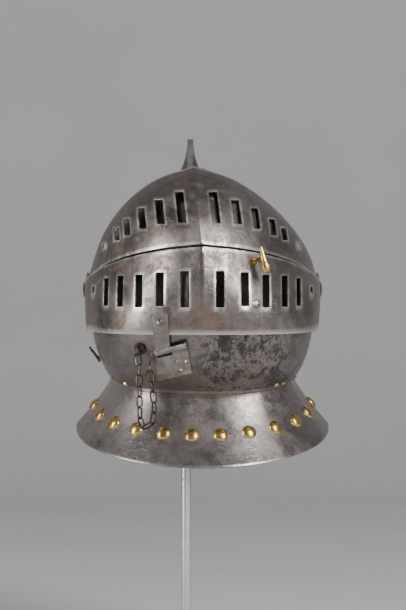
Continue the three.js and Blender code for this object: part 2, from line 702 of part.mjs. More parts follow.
// The ventail's strap: follows the plate, then reaches down to its knuckle
function haspStrapGeometry() {
  const frame = haspFrame();
  const knuckle = new THREE.CylinderGeometry(BARREL_RADIUS, BARREL_RADIUS, 2 * KNUCKLE_HALF, 12)
    .rotateZ(Math.PI / 2).translate(KNUCKLE_PLACE, 0, 0).applyMatrix4(frame);
  const bore = new THREE.CylinderGeometry(BARREL_BORE, BARREL_BORE, 4 * KNUCKLE_HALF, 10)
    .rotateZ(Math.PI / 2).translate(KNUCKLE_PLACE, 0, 0).applyMatrix4(frame);
  const foot = vector(KNUCKLE_PLACE, 0, 0).applyMatrix4(frame);
  const seatEnd = -VENTAIL_DROP + 4;
  const strap = mappedBlock(3, 7, 1, (across, down, out) => {
    const share = 1 - down;
    const centre = HASP.across + (foot.x - HASP.across) * share;
    const x = centre + (across - 0.5) * 2 * (KNUCKLE_HALF - 0.1);
    const rise = HASP.top + (foot.z - HASP.top) * share;
    const lift = VENTAIL_INSET - CLEARANCE - 0.2 - out * HASP_THICKNESS;
    if (rise > seatEnd) return facePoint(x, rise, lift);
    const away = (seatEnd - rise) / (seatEnd - foot.z);
    const seat = facePoint(x, seatEnd, lift);
    const end = vector(x, foot.y - BARREL_RADIUS * (0.2 + 0.6 * out), foot.z);
    return seat.lerp(end, away);
  });
  const rivetFoot = facePoint(
    HASP.across, HASP.top - 14, VENTAIL_INSET - CLEARANCE - 0.1 - HASP_THICKNESS,
  );
  const rivet = domeGeometry(3.2, 2, 1, 1, 10).applyMatrix4(
    seatFrame(rivetFoot, bowlNormal(rivetFoot, VENTAIL_INSET)),
  );
  const room = new THREE.CylinderGeometry(
    BARREL_RADIUS + CLEARANCE, BARREL_RADIUS + CLEARANCE, 2 * BARREL_HALF, 12,
  ).rotateZ(Math.PI / 2).translate(KNUCKLE_PLACE + KNUCKLE_HALF + BARREL_HALF, 0, 0)
    .applyMatrix4(frame);
  return geometryFrom(joined([strap, knuckle, rivet])
    .subtract(solidFrom(bore)).subtract(solidFrom(room)));
}

// The pin's straight stem lies in the barrel; its bent end has an eye for the chain
const pinPoints = () => [
  [BARREL_HALF - 2, 0, 0], [0, 0, 0], [-BARREL_HALF - 1, 0, 0],
  [-BARREL_HALF - 2.5, 0, 0], [-BARREL_HALF - 5.5, -2.5, 0.8], [-BARREL_HALF - 8, -8, 2],
].map((spot) => vector(...spot).applyMatrix4(haspFrame()));

const pinEye = () => pinPoints().pop().add(vector(0, 0, -LOOP_RADIUS));

function haspPinGeometry() {
  const centre = pinEye();
  const eye = new THREE.TorusGeometry(LOOP_RADIUS, LOOP_WIRE, 6, 14)
    .rotateX(Math.PI / 2).rotateZ((linkCount(chainRoute()) % 2) * Math.PI / 2)
    .translate(centre.x, centre.y, centre.z);
  return geometryFrom(joined([tubeAlong(pinPoints(), PIN_RADIUS, 8, 16), eye]));
}

// One oval link about the origin, long on local X and flat on local Z
function linkGeometry(length) {
  const tube = LINK_WIRE / 2;
  const ring = new THREE.TorusGeometry(LINK_WIDTH / 2 - tube, tube, 5, 12);
  const spots = ring.attributes.position;
  const stretch = (length - LINK_WIDTH) / 2;
  for (let index = 0; index < spots.count; index += 1) {
    const x = spots.getX(index);
    spots.setX(index, x + (Math.abs(x) < 0.2 ? 0 : Math.sign(x) * stretch));
  }
  return ring;
}

// Route of the chain between the pin's eye and the staple: [across, rise, out]
const CHAIN_ROUTE = [
  [-47.5, -82, 1], [-45, -98, 0], [-44, -114, -1], [-46.5, -125, -1],
  [-51.5, -130.5, 0], [-56, -125, 0], [-57.5, -108, 1], [-57.5, -84, 1],
];
const STAPLE = { across: -57, rise: -55, washerRadius: 6, standoff: 5.6 };

function stapleSeat() {
  const foot = facePoint(STAPLE.across, STAPLE.rise, BEVOR_INSET);
  const normal = bowlNormal(foot, BEVOR_INSET);
  return seatFrame(foot.addScaledVector(normal, CLEARANCE), normal);
}

// A link's end wire passes through a loop just above the loop's lowest point
function chainRoute() {
  const drop = LOOP_RADIUS - LOOP_WIRE - 2 * CLEARANCE - LINK_BITE / 2;
  const start = pinEye().add(vector(0, 0, -drop));
  const end = vector(0, 0, STAPLE.standoff).applyMatrix4(stapleSeat())
    .add(vector(0, 0, -drop));
  const plane = Math.min(start.y, end.y);
  const hanging = CHAIN_ROUTE.map(([across, rise, out]) => vector(across, plane - out, rise));
  return new THREE.CatmullRomCurve3([start, ...hanging, end]);
}

const linkCount = (route) => Math.round(
  route.getLength() / (LINK_LENGTH - 2 * LINK_WIRE + LINK_BITE),
);

// Steps of one straight length along the route; returns the points and what is left over
function stepAlong(route, count, chord) {
  const points = [route.getPointAt(0)];
  let share = 0;
  while (points.length <= count && share < 1) {
    share = Math.min(1, share + 1 / ROUTE_SAMPLES);
    const point = route.getPointAt(share);
    if (point.distanceTo(points[points.length - 1]) >= chord) points.push(point);
  }
  return { points, left: 1 - share };
}

// Where neighbouring links cross: equally far apart from the pin's eye to the staple
function chainJoints(route, count) {
  let low = 0.5 * LINK_LENGTH;
  let high = LINK_LENGTH;
  for (let pass = 0; pass < 24; pass += 1) {
    const middle = (low + high) / 2;
    if (stepAlong(route, count, middle).left > 0) low = middle;
    else high = middle;
  }
  return stepAlong(route, count, low).points;
}

function chainGeometry() {
  const route = chainRoute();
  const count = linkCount(route);
  const joints = chainJoints(route, count);
  const links = [];
  for (let index = 0; index < count; index += 1) {
    const run = joints[index + 1].clone().sub(joints[index]);
    const point = joints[index + 1].clone().add(joints[index]).divideScalar(2);
    const length = run.length() + 2 * LINK_WIRE - LINK_BITE;
    const along = run.normalize();
    const side = vector(0, 1, 0).cross(along).normalize();
    const flat = along.clone().cross(side).normalize();
    const share = (index + 0.5) / count;
    const twist = LINK_TWIST * Math.sin(Math.PI * share) + ((count - 1 - index) % 2) * Math.PI / 2;
    const frame = new THREE.Matrix4().makeBasis(along, side, flat).setPosition(point);
    links.push(linkGeometry(length)
      .applyMatrix4(new THREE.Matrix4().makeRotationX(twist)).applyMatrix4(frame));
  }
  return geometryFrom(joined(links));
}

// A washer, a short neck and a ring on the bevor that carry the chain's upper end
function chainStapleGeometry() {
  const seat = stapleSeat();
  const centre = vector(0, 0, STAPLE.standoff).applyMatrix4(seat);
  const washer = cylinderOnZ(STAPLE.washerRadius, 0, 1.2, 14).applyMatrix4(seat);
  const neck = tubeAlong([
    vector(0, 0, 0.6).applyMatrix4(seat), centre.clone().add(vector(0, LOOP_RADIUS, 0)),
  ], LOOP_WIRE, 8, 2);
  const loop = new THREE.TorusGeometry(LOOP_RADIUS, LOOP_WIRE, 6, 14)
    .rotateY(Math.PI / 2).translate(centre.x, centre.y, centre.z);
  return geometryFrom(joined([washer, neck, loop]));
}

// Side hook: a bent wire from a stud on the bevor to an eye on the skull
function sideHookGeometry() {
  const azimuth = radians(-78);
  const foot = ringPoint(azimuth, -66, BEVOR_INSET);
  const normal = bowlNormal(foot, BEVOR_INSET);
  const seat = seatFrame(foot.addScaledVector(normal, CLEARANCE), normal);
  const stud = cylinderOnZ(3, 0, 2.5, 12);
  const wire = tubeAlong([
    [0, 0, 1.6], [0.5, 6, 3], [2, 11, 4.6], [5, 13, 5.2], [7, 10, 4.6],
  ].map((spot) => vector(...spot)), 1.2, 8, 14);
  return geometryFrom(joined([stud, wire])).applyMatrix4(seat);
}

// Pivot bolt: a domed head outside the ventail and a shank through every plate
function boltGeometry(side) {
  const head = BOWL_HALF_WIDTH - VENTAIL_INSET + CLEARANCE;
  const shank = head - (BOWL_HALF_WIDTH - SKULL_INSET - PLATE) + 3;
  return domeGeometry(BOLT_HEAD_RADIUS, BOLT_HEAD_RISE, BOLT_SHANK_RADIUS, shank, 14)
    .rotateY(side * Math.PI / 2).translate(side * head, 0, 0);
}

function faceScrewGeometry() {
  const slot = new THREE.BoxGeometry(3 * SCREW_RADIUS, 0.9, 2).rotateZ(0.5).translate(0, 0, 2.9);
  const head = solidFrom(domeGeometry(SCREW_RADIUS, 2.4, SCREW_SHANK_RADIUS, 2 * PLATE, 12));
  return geometryFrom(head.subtract(solidFrom(slot))).applyMatrix4(screwSeat());
}

// Stand: a square base, a rod and a domed rest under the skull's crown
function baseGeometry() {
  const half = BASE_SIDE / 2 - BASE_CHAMFER;
  const square = new THREE.Shape();
  square.moveTo(-half, -half);
  square.lineTo(half, -half);
  square.lineTo(half, half);
  square.lineTo(-half, half);
  square.closePath();
  const plate = new THREE.ExtrudeGeometry(square, {
    depth: BASE_THICKNESS - 2 * BASE_CHAMFER,
    bevelThickness: BASE_CHAMFER,
    bevelSize: BASE_CHAMFER,
    bevelSegments: 2,
  }).translate(0, 0, BASE_CHAMFER);
  const socket = cylinderOnZ(
    ROD_RADIUS + CLEARANCE, BASE_THICKNESS - SOCKET_DEPTH, 2 * BASE_THICKNESS, 16,
  ).translate(ROD_ACROSS, ROD_BACK, 0);
  return geometryFrom(solidFrom(plate).subtract(solidFrom(socket)));
}

const crownUnder = meetBowl(
  (reach) => vector(ROD_ACROSS, ROD_BACK, reach), 2 * BOWL_RISE, SKULL_INSET + PLATE,
).z;
const restBottom = PIVOT_HEIGHT + crownUnder - REST_THICKNESS - 6;

function rodGeometry() {
  const low = BASE_THICKNESS - SOCKET_DEPTH + CLEARANCE;
  const high = restBottom + SOCKET_DEPTH - CLEARANCE;
  return cylinderOnZ(ROD_RADIUS, low, high, 16).translate(ROD_ACROSS, ROD_BACK, 0);
}

// The rest's top follows the skull's underside at a clearance
function restGeometry() {
  const disc = cylinderOnZ(REST_RADIUS, restBottom, restBottom + 4 * REST_THICKNESS, 24)
    .translate(ROD_ACROSS, ROD_BACK, 0);
  const under = bowlSolid(SKULL_INSET + PLATE)
    .translate([0, 0, PIVOT_HEIGHT - CLEARANCE]);
  const socket = cylinderOnZ(
    ROD_RADIUS + CLEARANCE, restBottom - 1, restBottom + SOCKET_DEPTH, 16,
  ).translate(ROD_ACROSS, ROD_BACK, 0);
  return geometryFrom(solidFrom(disc).intersect(under).subtract(solidFrom(socket)));
}

const helmet = new THREE.Group();
helmet.position.z = PIVOT_HEIGHT;
const stand = new THREE.Group();

function addPiece(group, name, geometry, finish) {
  const mesh = new THREE.Mesh(geometry, new THREE.MeshStandardMaterial(finish));
  mesh.name = name;
  group.add(mesh);
}

addPiece(helmet, 'skull', skullGeometry(), STEEL);
addPiece(helmet, 'visor', visorGeometry(), STEEL);
addPiece(helmet, 'ventail', ventailGeometry(), STEEL);
addPiece(helmet, 'bevor', bevorGeometry(), STEEL);
addPiece(helmet, 'gorget_front', gorgetGeometry(
  -FRONT_PLATE_SPAN, FRONT_PLATE_SPAN, FRONT_COLLAR_INSET, onFrontPlate,
  coverRoom(BEVOR_INSET, bevorOutline(CLEARANCE)),
), STEEL);
addPiece(helmet, 'gorget_rear', gorgetGeometry(
  REAR_PLATE_START, 360 - REAR_PLATE_START, REAR_COLLAR_INSET,
  (degrees) => !onFrontPlate(degrees), coverRoom(SKULL_INSET, skullOutline(CLEARANCE)),
), STEEL);
for (let index = 0; index < STUD_COUNT; index += 1) {
  const stud = domeGeometry(STUD_RADIUS, STUD_RISE, STUD_SHANK_RADIUS, PLATE + 1);
  const name = `brass_stud_${String(index + 1).padStart(2, '0')}`;
  addPiece(helmet, name, stud.applyMatrix4(studSeat(studAngle(index))), BRASS);
}
for (const rivet of NECK_RIVETS) {
  const head = domeGeometry(NECK_RIVET_RADIUS, NECK_RIVET_RADIUS * 0.7, 1.2, 2 * PLATE + 2, 6);
  addPiece(helmet, rivet.name, head.applyMatrix4(neckRivetSeat(rivet)), rivet.brass ? BRASS : STEEL);
}
addPiece(helmet, 'pivot_bolt_left', boltGeometry(-1), STEEL);
addPiece(helmet, 'pivot_bolt_right', boltGeometry(1), STEEL);
addPiece(helmet, 'catch_post', catchPostGeometry(), BRASS);
addPiece(helmet, 'catch_lever', catchLeverGeometry(), BRASS);
addPiece(helmet, 'face_screw', faceScrewGeometry(), STEEL);
addPiece(helmet, 'hasp_strap', haspStrapGeometry(), STEEL);
addPiece(helmet, 'hasp_plate', haspPlateGeometry(), STEEL);
addPiece(helmet, 'hasp_pin', haspPinGeometry(), IRON);
addPiece(helmet, 'chain', chainGeometry(), IRON);
addPiece(helmet, 'chain_staple', chainStapleGeometry(), IRON);
addPiece(helmet, 'side_hook', sideHookGeometry(), IRON);
addPiece(stand, 'stand_base', baseGeometry(), BLACK_STEEL);
addPiece(stand, 'stand_rod', rodGeometry(), CHROME);
addPiece(stand, 'stand_rest', restGeometry(), BLACK_STEEL);

const part = new THREE.Group();
part.add(helmet, stand);
export default part;
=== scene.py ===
"""An old close helmet on a rod stand, dressed for a picture in Blender.

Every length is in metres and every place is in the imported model's own frame: +Z up, the helmet
facing -Y. The plates are sheets of one bowl form, each at its own inset below it.
"""

import logging
import math
from dataclasses import dataclass, field
from enum import Enum
from typing import Callable, Sequence

import bpy
import numpy as np
from mathutils import Matrix, Vector, kdtree, noise


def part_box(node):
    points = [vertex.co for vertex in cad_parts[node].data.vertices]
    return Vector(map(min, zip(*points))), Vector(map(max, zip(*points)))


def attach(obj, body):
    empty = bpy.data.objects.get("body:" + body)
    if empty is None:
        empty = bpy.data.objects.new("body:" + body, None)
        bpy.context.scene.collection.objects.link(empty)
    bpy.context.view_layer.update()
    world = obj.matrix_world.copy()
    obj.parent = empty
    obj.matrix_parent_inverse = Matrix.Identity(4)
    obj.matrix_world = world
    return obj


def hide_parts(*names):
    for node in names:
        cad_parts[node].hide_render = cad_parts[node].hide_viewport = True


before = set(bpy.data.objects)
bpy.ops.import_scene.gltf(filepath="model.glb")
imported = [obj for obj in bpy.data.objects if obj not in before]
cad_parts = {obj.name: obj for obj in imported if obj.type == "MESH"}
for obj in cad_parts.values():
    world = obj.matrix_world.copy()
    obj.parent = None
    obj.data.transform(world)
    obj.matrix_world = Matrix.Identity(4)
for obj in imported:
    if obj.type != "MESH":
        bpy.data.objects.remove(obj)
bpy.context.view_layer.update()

log = logging.getLogger("helmet")

MM = 0.001
HELMET = "helmet_and_stand"
CREASE = math.radians(38)
FORM_HALVINGS = 34
EDGE_HALVINGS = 30
EDGE_ROUNDS = 8
STUD_SIDES = 40


def smoothstep(value: np.ndarray, low: float, high: float) -> np.ndarray:
    """Rises softly from 0 at low to 1 at high."""
    share = np.clip((np.asarray(value, float) - low) / (high - low), 0.0, 1.0)
    return share * share * (3.0 - 2.0 * share)


# Shader toolkit


class Signal:
    """A node socket's output that can be used in a Python expression."""

    def __init__(self, book: "NodeBook", socket: bpy.types.NodeSocket) -> None:
        """Wraps one output socket of a node tree."""
        self.book = book
        self.socket = socket

    def maths(self, operation: str, *others: "Signal | float") -> "Signal":
        """Adds a Math node that works on this value and the others."""
        values = dict(enumerate((self, *others)))
        return self.book.add("ShaderNodeMath", {"operation": operation}, values)

    def __add__(self, other: "Signal | float") -> "Signal":
        """Sum."""
        return self.maths("ADD", other)

    __radd__ = __add__

    def __sub__(self, other: "Signal | float") -> "Signal":
        """Difference."""
        return self.maths("SUBTRACT", other)

    def __rsub__(self, other: float) -> "Signal":
        """A number less this value."""
        return (self * -1.0) + other

    def __mul__(self, other: "Signal | float") -> "Signal":
        """Product."""
        return self.maths("MULTIPLY", other)

    __rmul__ = __mul__

    def between(self, low: float, high: float) -> "Signal":
        """Rises softly from 0 where this value is low to 1 where it is high."""
        settings = {"interpolation_type": "SMOOTHSTEP"}
        return self.book.add("ShaderNodeMapRange", settings, {0: self, 1: low, 2: high})

    def clipped(self) -> "Signal":
        """This value held between 0 and 1."""
        return self.maths("MAXIMUM", 0.0).maths("MINIMUM", 1.0)


class NodeBook:
    """The nodes of one material."""

    def __init__(self, material: bpy.types.Material) -> None:
        """Takes over a material's node tree, with its Principled shader kept."""
        material.use_nodes = True
        self.tree = material.node_tree
        self.shader = self.tree.nodes["Principled BSDF"]

    def add(self, kind: str, settings: dict, inputs: dict, output: int = 0) -> Signal:
        """Adds one node.

        Args:
            kind: the node's type name.
            settings: attributes, set before the sockets; "stops" fills a colour ramp.
            inputs: socket name or index to a Signal or a plain value.
            output: which output to return.

        Returns:
            The chosen output.
        """
        node = self.tree.nodes.new(kind)
        for name, value in settings.items():
            if name == "stops":
                self.fill_ramp(node.color_ramp, value)
            else:
                setattr(node, name, value)
        for name, value in inputs.items():
            if isinstance(value, Signal):
                self.tree.links.new(value.socket, node.inputs[name])
            else:
                node.inputs[name].default_value = value
        return Signal(self, node.outputs[output])

    @staticmethod
    def fill_ramp(ramp: bpy.types.ColorRamp, stops: Sequence[tuple]) -> None:
        """Gives a ramp its stops of place and colour."""
        while len(ramp.elements) < len(stops):
            ramp.elements.new(1.0)
        for element, (place, colour) in zip(ramp.elements, stops):
            element.position = place
            element.color = (*colour, 1.0)

    def place(self) -> Signal:
        """The point's place in the object's own metres."""
        return self.add("ShaderNodeTexCoord", {}, {}, output=3)

    def axis(self, place: Signal, index: int) -> Signal:
        """One coordinate of a place."""
        return self.add("ShaderNodeSeparateXYZ", {}, {0: place}, output=index)

    def noise(
        self, place: Signal, scale: float, detail: float = 4.0, roughness: float = 0.55,
        warp: float = 0.0,
    ) -> Signal:
        """Cloudy noise between about 0.2 and 0.8."""
        values = {
            "Vector": place, "Scale": scale, "Detail": detail, "Roughness": roughness,
            "Distortion": warp,
        }
        return self.add("ShaderNodeTexNoise", {}, values)

    def specks(self, place: Signal, scale: float, spread: float = 1.0) -> Signal:
        """Distance to the nearest of many scattered points."""
        values = {"Vector": place, "Scale": scale, "Randomness": spread}
        return self.add("ShaderNodeTexVoronoi", {}, values)

    def stretched(self, place: Signal, scale: Sequence[float]) -> Signal:
        """A place drawn out along the axes."""
        return self.add("ShaderNodeMapping", {}, {"Vector": place, "Scale": tuple(scale)})

    def mixed(self, first: "Signal | tuple", second: "Signal | tuple", share: Signal) -> Signal:
        """One colour turning into another."""
        colours = [
            value if isinstance(value, Signal) else (*value, 1.0) for value in (first, second)
        ]
        values = {0: share, 6: colours[0], 7: colours[1]}
        return self.add("ShaderNodeMix", {"data_type": "RGBA"}, values, output=2)

    def wear(self, name: str) -> Signal:
        """A value that the mesh holds at its points."""
        return self.add("ShaderNodeAttribute", {"attribute_name": name}, {}, output=2)

    def relief(self, height: Signal, depth: float, strength: float = 1.0) -> Signal:
        """A bumped normal from a height map."""
        values = {"Height": height, "Distance": depth, "Strength": strength}
        return self.add("ShaderNodeBump", {}, values)

    def feed(self, **sockets: "Signal | float | tuple") -> None:
        """Sets or links the Principled shader's sockets, with _ for a space in a name."""
        for name, value in sockets.items():
            socket = self.shader.inputs[name.replace("_", " ")]
            if isinstance(value, Signal):
                self.tree.links.new(value.socket, socket)
            else:
                socket.default_value = (*value, 1.0) if isinstance(value, tuple) else value


# Finishes


class Wear(Enum):
    """Which stretch of the old steel a plate comes from."""

    STAINED_LEFT = "stained_left"
    PITTED_RIGHT = "pitted_right"
    SMOOTH = "smooth"


@dataclass(frozen=True)
class OldSteel:
    """Hand-hammered plate, grey-brown, with stains, pits, scratches and rubbed edges."""

    name: str
    wear: Wear
    stain: float = 0.5
    pitting: float = 0.5
    brightness: float = 1.0
    roughness: float = 0.3

    def make(self) -> bpy.types.Material:
        """Builds the material."""
        material = bpy.data.materials.new(self.name)
        book = NodeBook(material)
        place = book.place()
        across = book.axis(place, 0)
        cloud = book.noise(place, 16.0, 6.0, 0.6, 0.6).between(0.34, 0.68)
        fine = book.noise(place, 120.0, 5.0, 0.65).between(0.3, 0.72)
        patches = book.noise(place, 34.0, 5.0, 0.65, 1.2).between(0.48, 0.62)
        scratch = book.noise(book.stretched(place, (60.0, 60.0, 900.0)), 2.4, 3.0).between(0.6, 0.7)
        edge = book.wear("edge")
        stain_side = self.stain_side(across)
        stain = (patches * stain_side * self.stain).clipped()
        pits = self.pits(book, place, across)
        tone = self.tone(book, cloud, fine)
        rust = book.mixed((0.115, 0.060, 0.030), (0.30, 0.175, 0.085), fine)
        colour = book.mixed(tone, rust, stain * 0.62)
        colour = book.mixed(colour, (0.012, 0.010, 0.009), pits * 0.92)
        rubbed = ((edge * 0.85 + scratch * 0.22) * (1 - pits * 0.6)).clipped()
        colour = book.mixed(colour, (0.80, 0.76, 0.72), rubbed)
        rough = (self.roughness + cloud * 0.12 + stain * 0.2 + pits * 0.35 - edge * 0.06).clipped()
        height = (fine * 0.35 + cloud * 0.4 - pits * 0.9 - scratch * 0.1)
        book.feed(
            Base_Color=colour, Roughness=rough, Metallic=(1 - pits * 0.55 - stain * 0.25).clipped(),
            Normal=book.relief(height, 0.35 * MM, 0.55),
        )
        return material

    def stain_side(self, across: Signal) -> Signal:
        """More stain on the wearer's right, which is the picture's left."""
        if self.wear is Wear.STAINED_LEFT:
            return 1 - across.between(-0.02, 0.07) * 0.75
        return across * 0.0 + 0.45

    def pits(self, book: NodeBook, place: Signal, across: Signal) -> Signal:
        """Black pits, thick where the plate has rusted deep."""
        blotch = book.noise(place, 46.0, 7.0, 0.72, 0.8)
        grain = book.noise(place, 260.0, 4.0, 0.7)
        speck = 1 - book.specks(place, 230.0).between(0.12, 0.34)
        area = book.noise(place, 12.0, 3.0).between(0.4, 0.62)
        share = area * 0.35 + 0.12
        if self.wear is Wear.PITTED_RIGHT:
            share = across.between(-0.022, 0.012) * (1 - across.between(0.070, 0.105)) * 0.9 + 0.08
        deep = (blotch * 0.62 + grain * 0.46).between(0.505, 0.58)
        return ((deep * share + speck * share * 0.45) * (2.0 * self.pitting)).clipped()

    def tone(self, book: NodeBook, cloud: Signal, fine: Signal) -> Signal:
        """The bare steel's grey-brown, a little purple in the darker clouds."""
        light = tuple(self.brightness * part for part in (0.47, 0.425, 0.395))
        dark = tuple(self.brightness * part for part in (0.235, 0.205, 0.205))
        return book.mixed(dark, light, (cloud * 0.7 + fine * 0.3))


@dataclass(frozen=True)
class PlainMetal:
    """A metal with soft clouds, fine scratches and darker hollows."""

    name: str
    light: tuple
    dark: tuple
    rim: tuple
    roughness: float = 0.25
    grain: float = 220.0
    relief: float = 0.08
    metallic: float = 1.0

    def make(self) -> bpy.types.Material:
        """Builds the material."""
        material = bpy.data.materials.new(self.name)
        book = NodeBook(material)
        place = book.place()
        cloud = book.noise(place, 60.0, 5.0, 0.6).between(0.32, 0.7)
        fine = book.noise(place, self.grain, 4.0, 0.65).between(0.35, 0.7)
        hollow = book.wear("hollow")
        colour = book.mixed(self.dark, self.light, (cloud * 0.75 + fine * 0.25))
        colour = book.mixed(colour, self.rim, (hollow * (0.6 + fine * 0.4)).clipped())
        rough = (self.roughness + fine * 0.1 + hollow * 0.25).clipped()
        book.feed(
            Base_Color=colour, Roughness=rough, Metallic=self.metallic,
            Normal=book.relief(fine, self.relief * MM, 0.5),
        )
        return material


@dataclass(frozen=True)
class PowderCoat:
    """Black coated steel with a fine even grain."""

    name: str
    colour: tuple = (0.022, 0.022, 0.024)

    def make(self) -> bpy.types.Material:
        """Builds the material."""
        material = bpy.data.materials.new(self.name)
        book = NodeBook(material)
        place = book.place()
        grain = book.noise(place, 900.0, 3.0, 0.6)
        smear = book.noise(place, 14.0, 5.0, 0.6, 0.8).between(0.35, 0.7)
        lighter = tuple(1.7 * part for part in self.colour)
        book.feed(
            Base_Color=book.mixed(self.colour, lighter, smear),
            Roughness=(0.32 + smear * 0.12).clipped(), Metallic=0.0,
            Normal=book.relief(grain, 0.12 * MM, 0.35),
        )
        return material


@dataclass(frozen=True)
class Backdrop:
    """A plain pale matt surface."""

    name: str
    colour: tuple

    def make(self) -> bpy.types.Material:
        """Builds the material."""
        material = bpy.data.materials.new(self.name)
        book = NodeBook(material)
        cloud = book.noise(book.place(), 3.0, 3.0).between(0.3, 0.7)
        darker = tuple(0.96 * part for part in self.colour)
        book.feed(Base_Color=book.mixed(darker, self.colour, cloud), Roughness=0.75)
        return material


class Finishes:
    """Every finish on the helmet and its stand, made once."""

    def __init__(self) -> None:
        """Makes the materials."""
        self.visor = OldSteel(
            "visor_steel", Wear.STAINED_LEFT, stain=0.9, pitting=0.34,
            brightness=0.76, roughness=0.26,
        ).make()
        self.ventail = OldSteel(
            "ventail_steel", Wear.STAINED_LEFT, stain=1.0, pitting=0.30,
            brightness=0.76, roughness=0.26,
        ).make()
        self.bevor = OldSteel(
            "bevor_steel", Wear.PITTED_RIGHT, stain=0.5, pitting=0.42,
            brightness=0.72, roughness=0.28,
        ).make()
        self.skull = OldSteel(
            "skull_steel", Wear.SMOOTH, stain=0.5, pitting=0.35,
            brightness=0.8, roughness=0.26,
        ).make()
        self.gorget = OldSteel(
            "gorget_steel", Wear.SMOOTH, stain=0.35, pitting=0.26,
            brightness=1.22, roughness=0.23,
        ).make()
        self.small_steel = PlainMetal(
            "small_steel", (0.50, 0.46, 0.43), (0.24, 0.21, 0.19), (0.05, 0.035, 0.025), 0.28,
        ).make()
        self.brass = PlainMetal(
            "stud_brass", (0.86, 0.62, 0.22), (0.60, 0.40, 0.12), (0.12, 0.065, 0.02), 0.2,
        ).make()
        self.iron = PlainMetal(
            "chain_iron", (0.165, 0.14, 0.12), (0.06, 0.05, 0.042), (0.02, 0.014, 0.01), 0.38,
            relief=0.15,
        ).make()
        self.chrome = PlainMetal(
            "rod_chrome", (0.82, 0.82, 0.84), (0.72, 0.72, 0.74), (0.5, 0.5, 0.5), 0.08,
            relief=0.01,
        ).make()
        self.coat = PowderCoat("stand_coat").make()


# Mesh helpers


def mesh_piece(
    name: str, points: np.ndarray, faces: Sequence[Sequence[int]], finish: bpy.types.Material,
    body: str = HELMET,
) -> bpy.types.Object:
    """Makes a smooth-shaded piece that rides on a body.

    Args:
        name: the piece's name.
        points: its corners, one row each.
        faces: corner numbers of each face.
        finish: its material.
        body: the body that it moves with.

    Returns:
        The new object.
    """
    mesh = bpy.data.meshes.new(name)
    mesh.from_pydata([tuple(point) for point in points], [], [tuple(face) for face in faces])
    mesh.validate()
    mesh.update()
    piece = bpy.data.objects.new(name, mesh)
    bpy.context.scene.collection.objects.link(piece)
    mesh.materials.append(finish)
    mesh.shade_smooth()
    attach(piece, body)
    return piece


def settle(piece: bpy.types.Object) -> None:
    """Turns a piece's modifiers into plain mesh, with creases kept sharp."""
    graph = bpy.context.evaluated_depsgraph_get()
    graph.update()
    solid = bpy.data.meshes.new_from_object(piece.evaluated_get(graph))
    old = piece.data
    piece.modifiers.clear()
    piece.data = solid
    bpy.data.meshes.remove(old)
    solid.name = piece.name
    solid.shade_smooth()
    solid.set_sharp_from_angle(angle=CREASE)


def mark(piece: bpy.types.Object, name: str, values: np.ndarray) -> None:
    """Stores one number for each point of a piece."""
    layer = piece.data.attributes.new(name, "FLOAT", "POINT")
    layer.data.foreach_set("value", np.asarray(values, np.float32))


def corners_of(piece: bpy.types.Object) -> np.ndarray:
    """The piece's points as rows."""
    flat = np.empty(3 * len(piece.data.vertices), np.float32)
    piece.data.vertices.foreach_get("co", flat)
    return flat.reshape(-1, 3)


def grid_faces(
    rows: int, columns: int, cut: "np.ndarray | None" = None, closed: bool = False,
) -> list[tuple]:
    """Quads of a grid of points, without the cut cells."""
    faces = []
    last = columns if closed else columns - 1
    for row in range(rows - 1):
        for column in range(last):
            if cut is not None and cut[row, column]:
                continue
            beside = (column + 1) % columns
            faces.append((
                row * columns + column, row * columns + beside,
                (row + 1) * columns + beside, (row + 1) * columns + column,
            ))
    return faces


def border_points(points: np.ndarray, faces: Sequence[tuple], step: float) -> np.ndarray:
    """Points along the open edges of a sheet, no further apart than a step."""
    seen: dict[tuple, int] = {}
    for face in faces:
        for first, second in zip(face, face[1:] + face[:1]):
            key = (min(first, second), max(first, second))
            seen[key] = seen.get(key, 0) + 1
    found = []
    for (first, second), count in seen.items():
        if count == 1:
            run = points[second] - points[first]
            parts = max(1, int(np.ceil(np.linalg.norm(run) / step)))
            found.extend(points[first] + run * part / parts for part in range(parts))
    return np.array(found)


def mark_edges(piece: bpy.types.Object, border: np.ndarray, reach: float) -> None:
    """Marks how near each point of a plate lies to its rim or a slot."""
    tree = kdtree.KDTree(len(border))
    for index, point in enumerate(border):
        tree.insert(Vector(point), index)
    tree.balance()
    far = np.array([tree.find(Vector(point))[2] for point in corners_of(piece)])
    mark(piece, "edge", np.exp(-(far / reach) ** 2))


def turned_piece(
    profile: Sequence[tuple], sides: int, seat: Matrix,
) -> tuple[np.ndarray, list[tuple]]:
    """A turned form on a seat's own axis.

    Args:
        profile: radius and height of each ring, from one end on the axis to the other.
        sides: points in a ring.
        seat: where the form's foot and axis lie.

    Returns:
        The points and the faces.
    """
    angles = np.linspace(0.0, 2.0 * np.pi, sides, endpoint=False)
    rings = [
        np.stack([radius * np.cos(angles), radius * np.sin(angles), np.full(sides, height)], 1)
        for radius, height in profile
    ]
    points = np.concatenate(rings)
    faces = grid_faces(len(profile), sides, closed=True)
    matrix = np.array(seat)
    return points @ matrix[:3, :3].T + matrix[:3, 3], faces


def closed_in(
    low: np.ndarray, high: np.ndarray, short: Callable[[np.ndarray], np.ndarray], times: int,
) -> np.ndarray:
    """Closes in, by halves, on the largest values that a test still finds too short.

    Args:
        low: values that are too short.
        high: values that are too long.
        short: says of each value whether it is too short.
        times: how often the range is halved.

    Returns:
        The values.
    """
    for _ in range(times):
        middle = (low + high) / 2
        lacking = short(middle)
        low = np.where(lacking, middle, low)
        high = np.where(lacking, high, middle)
    return low


# The bowl form that every plate of the head follows


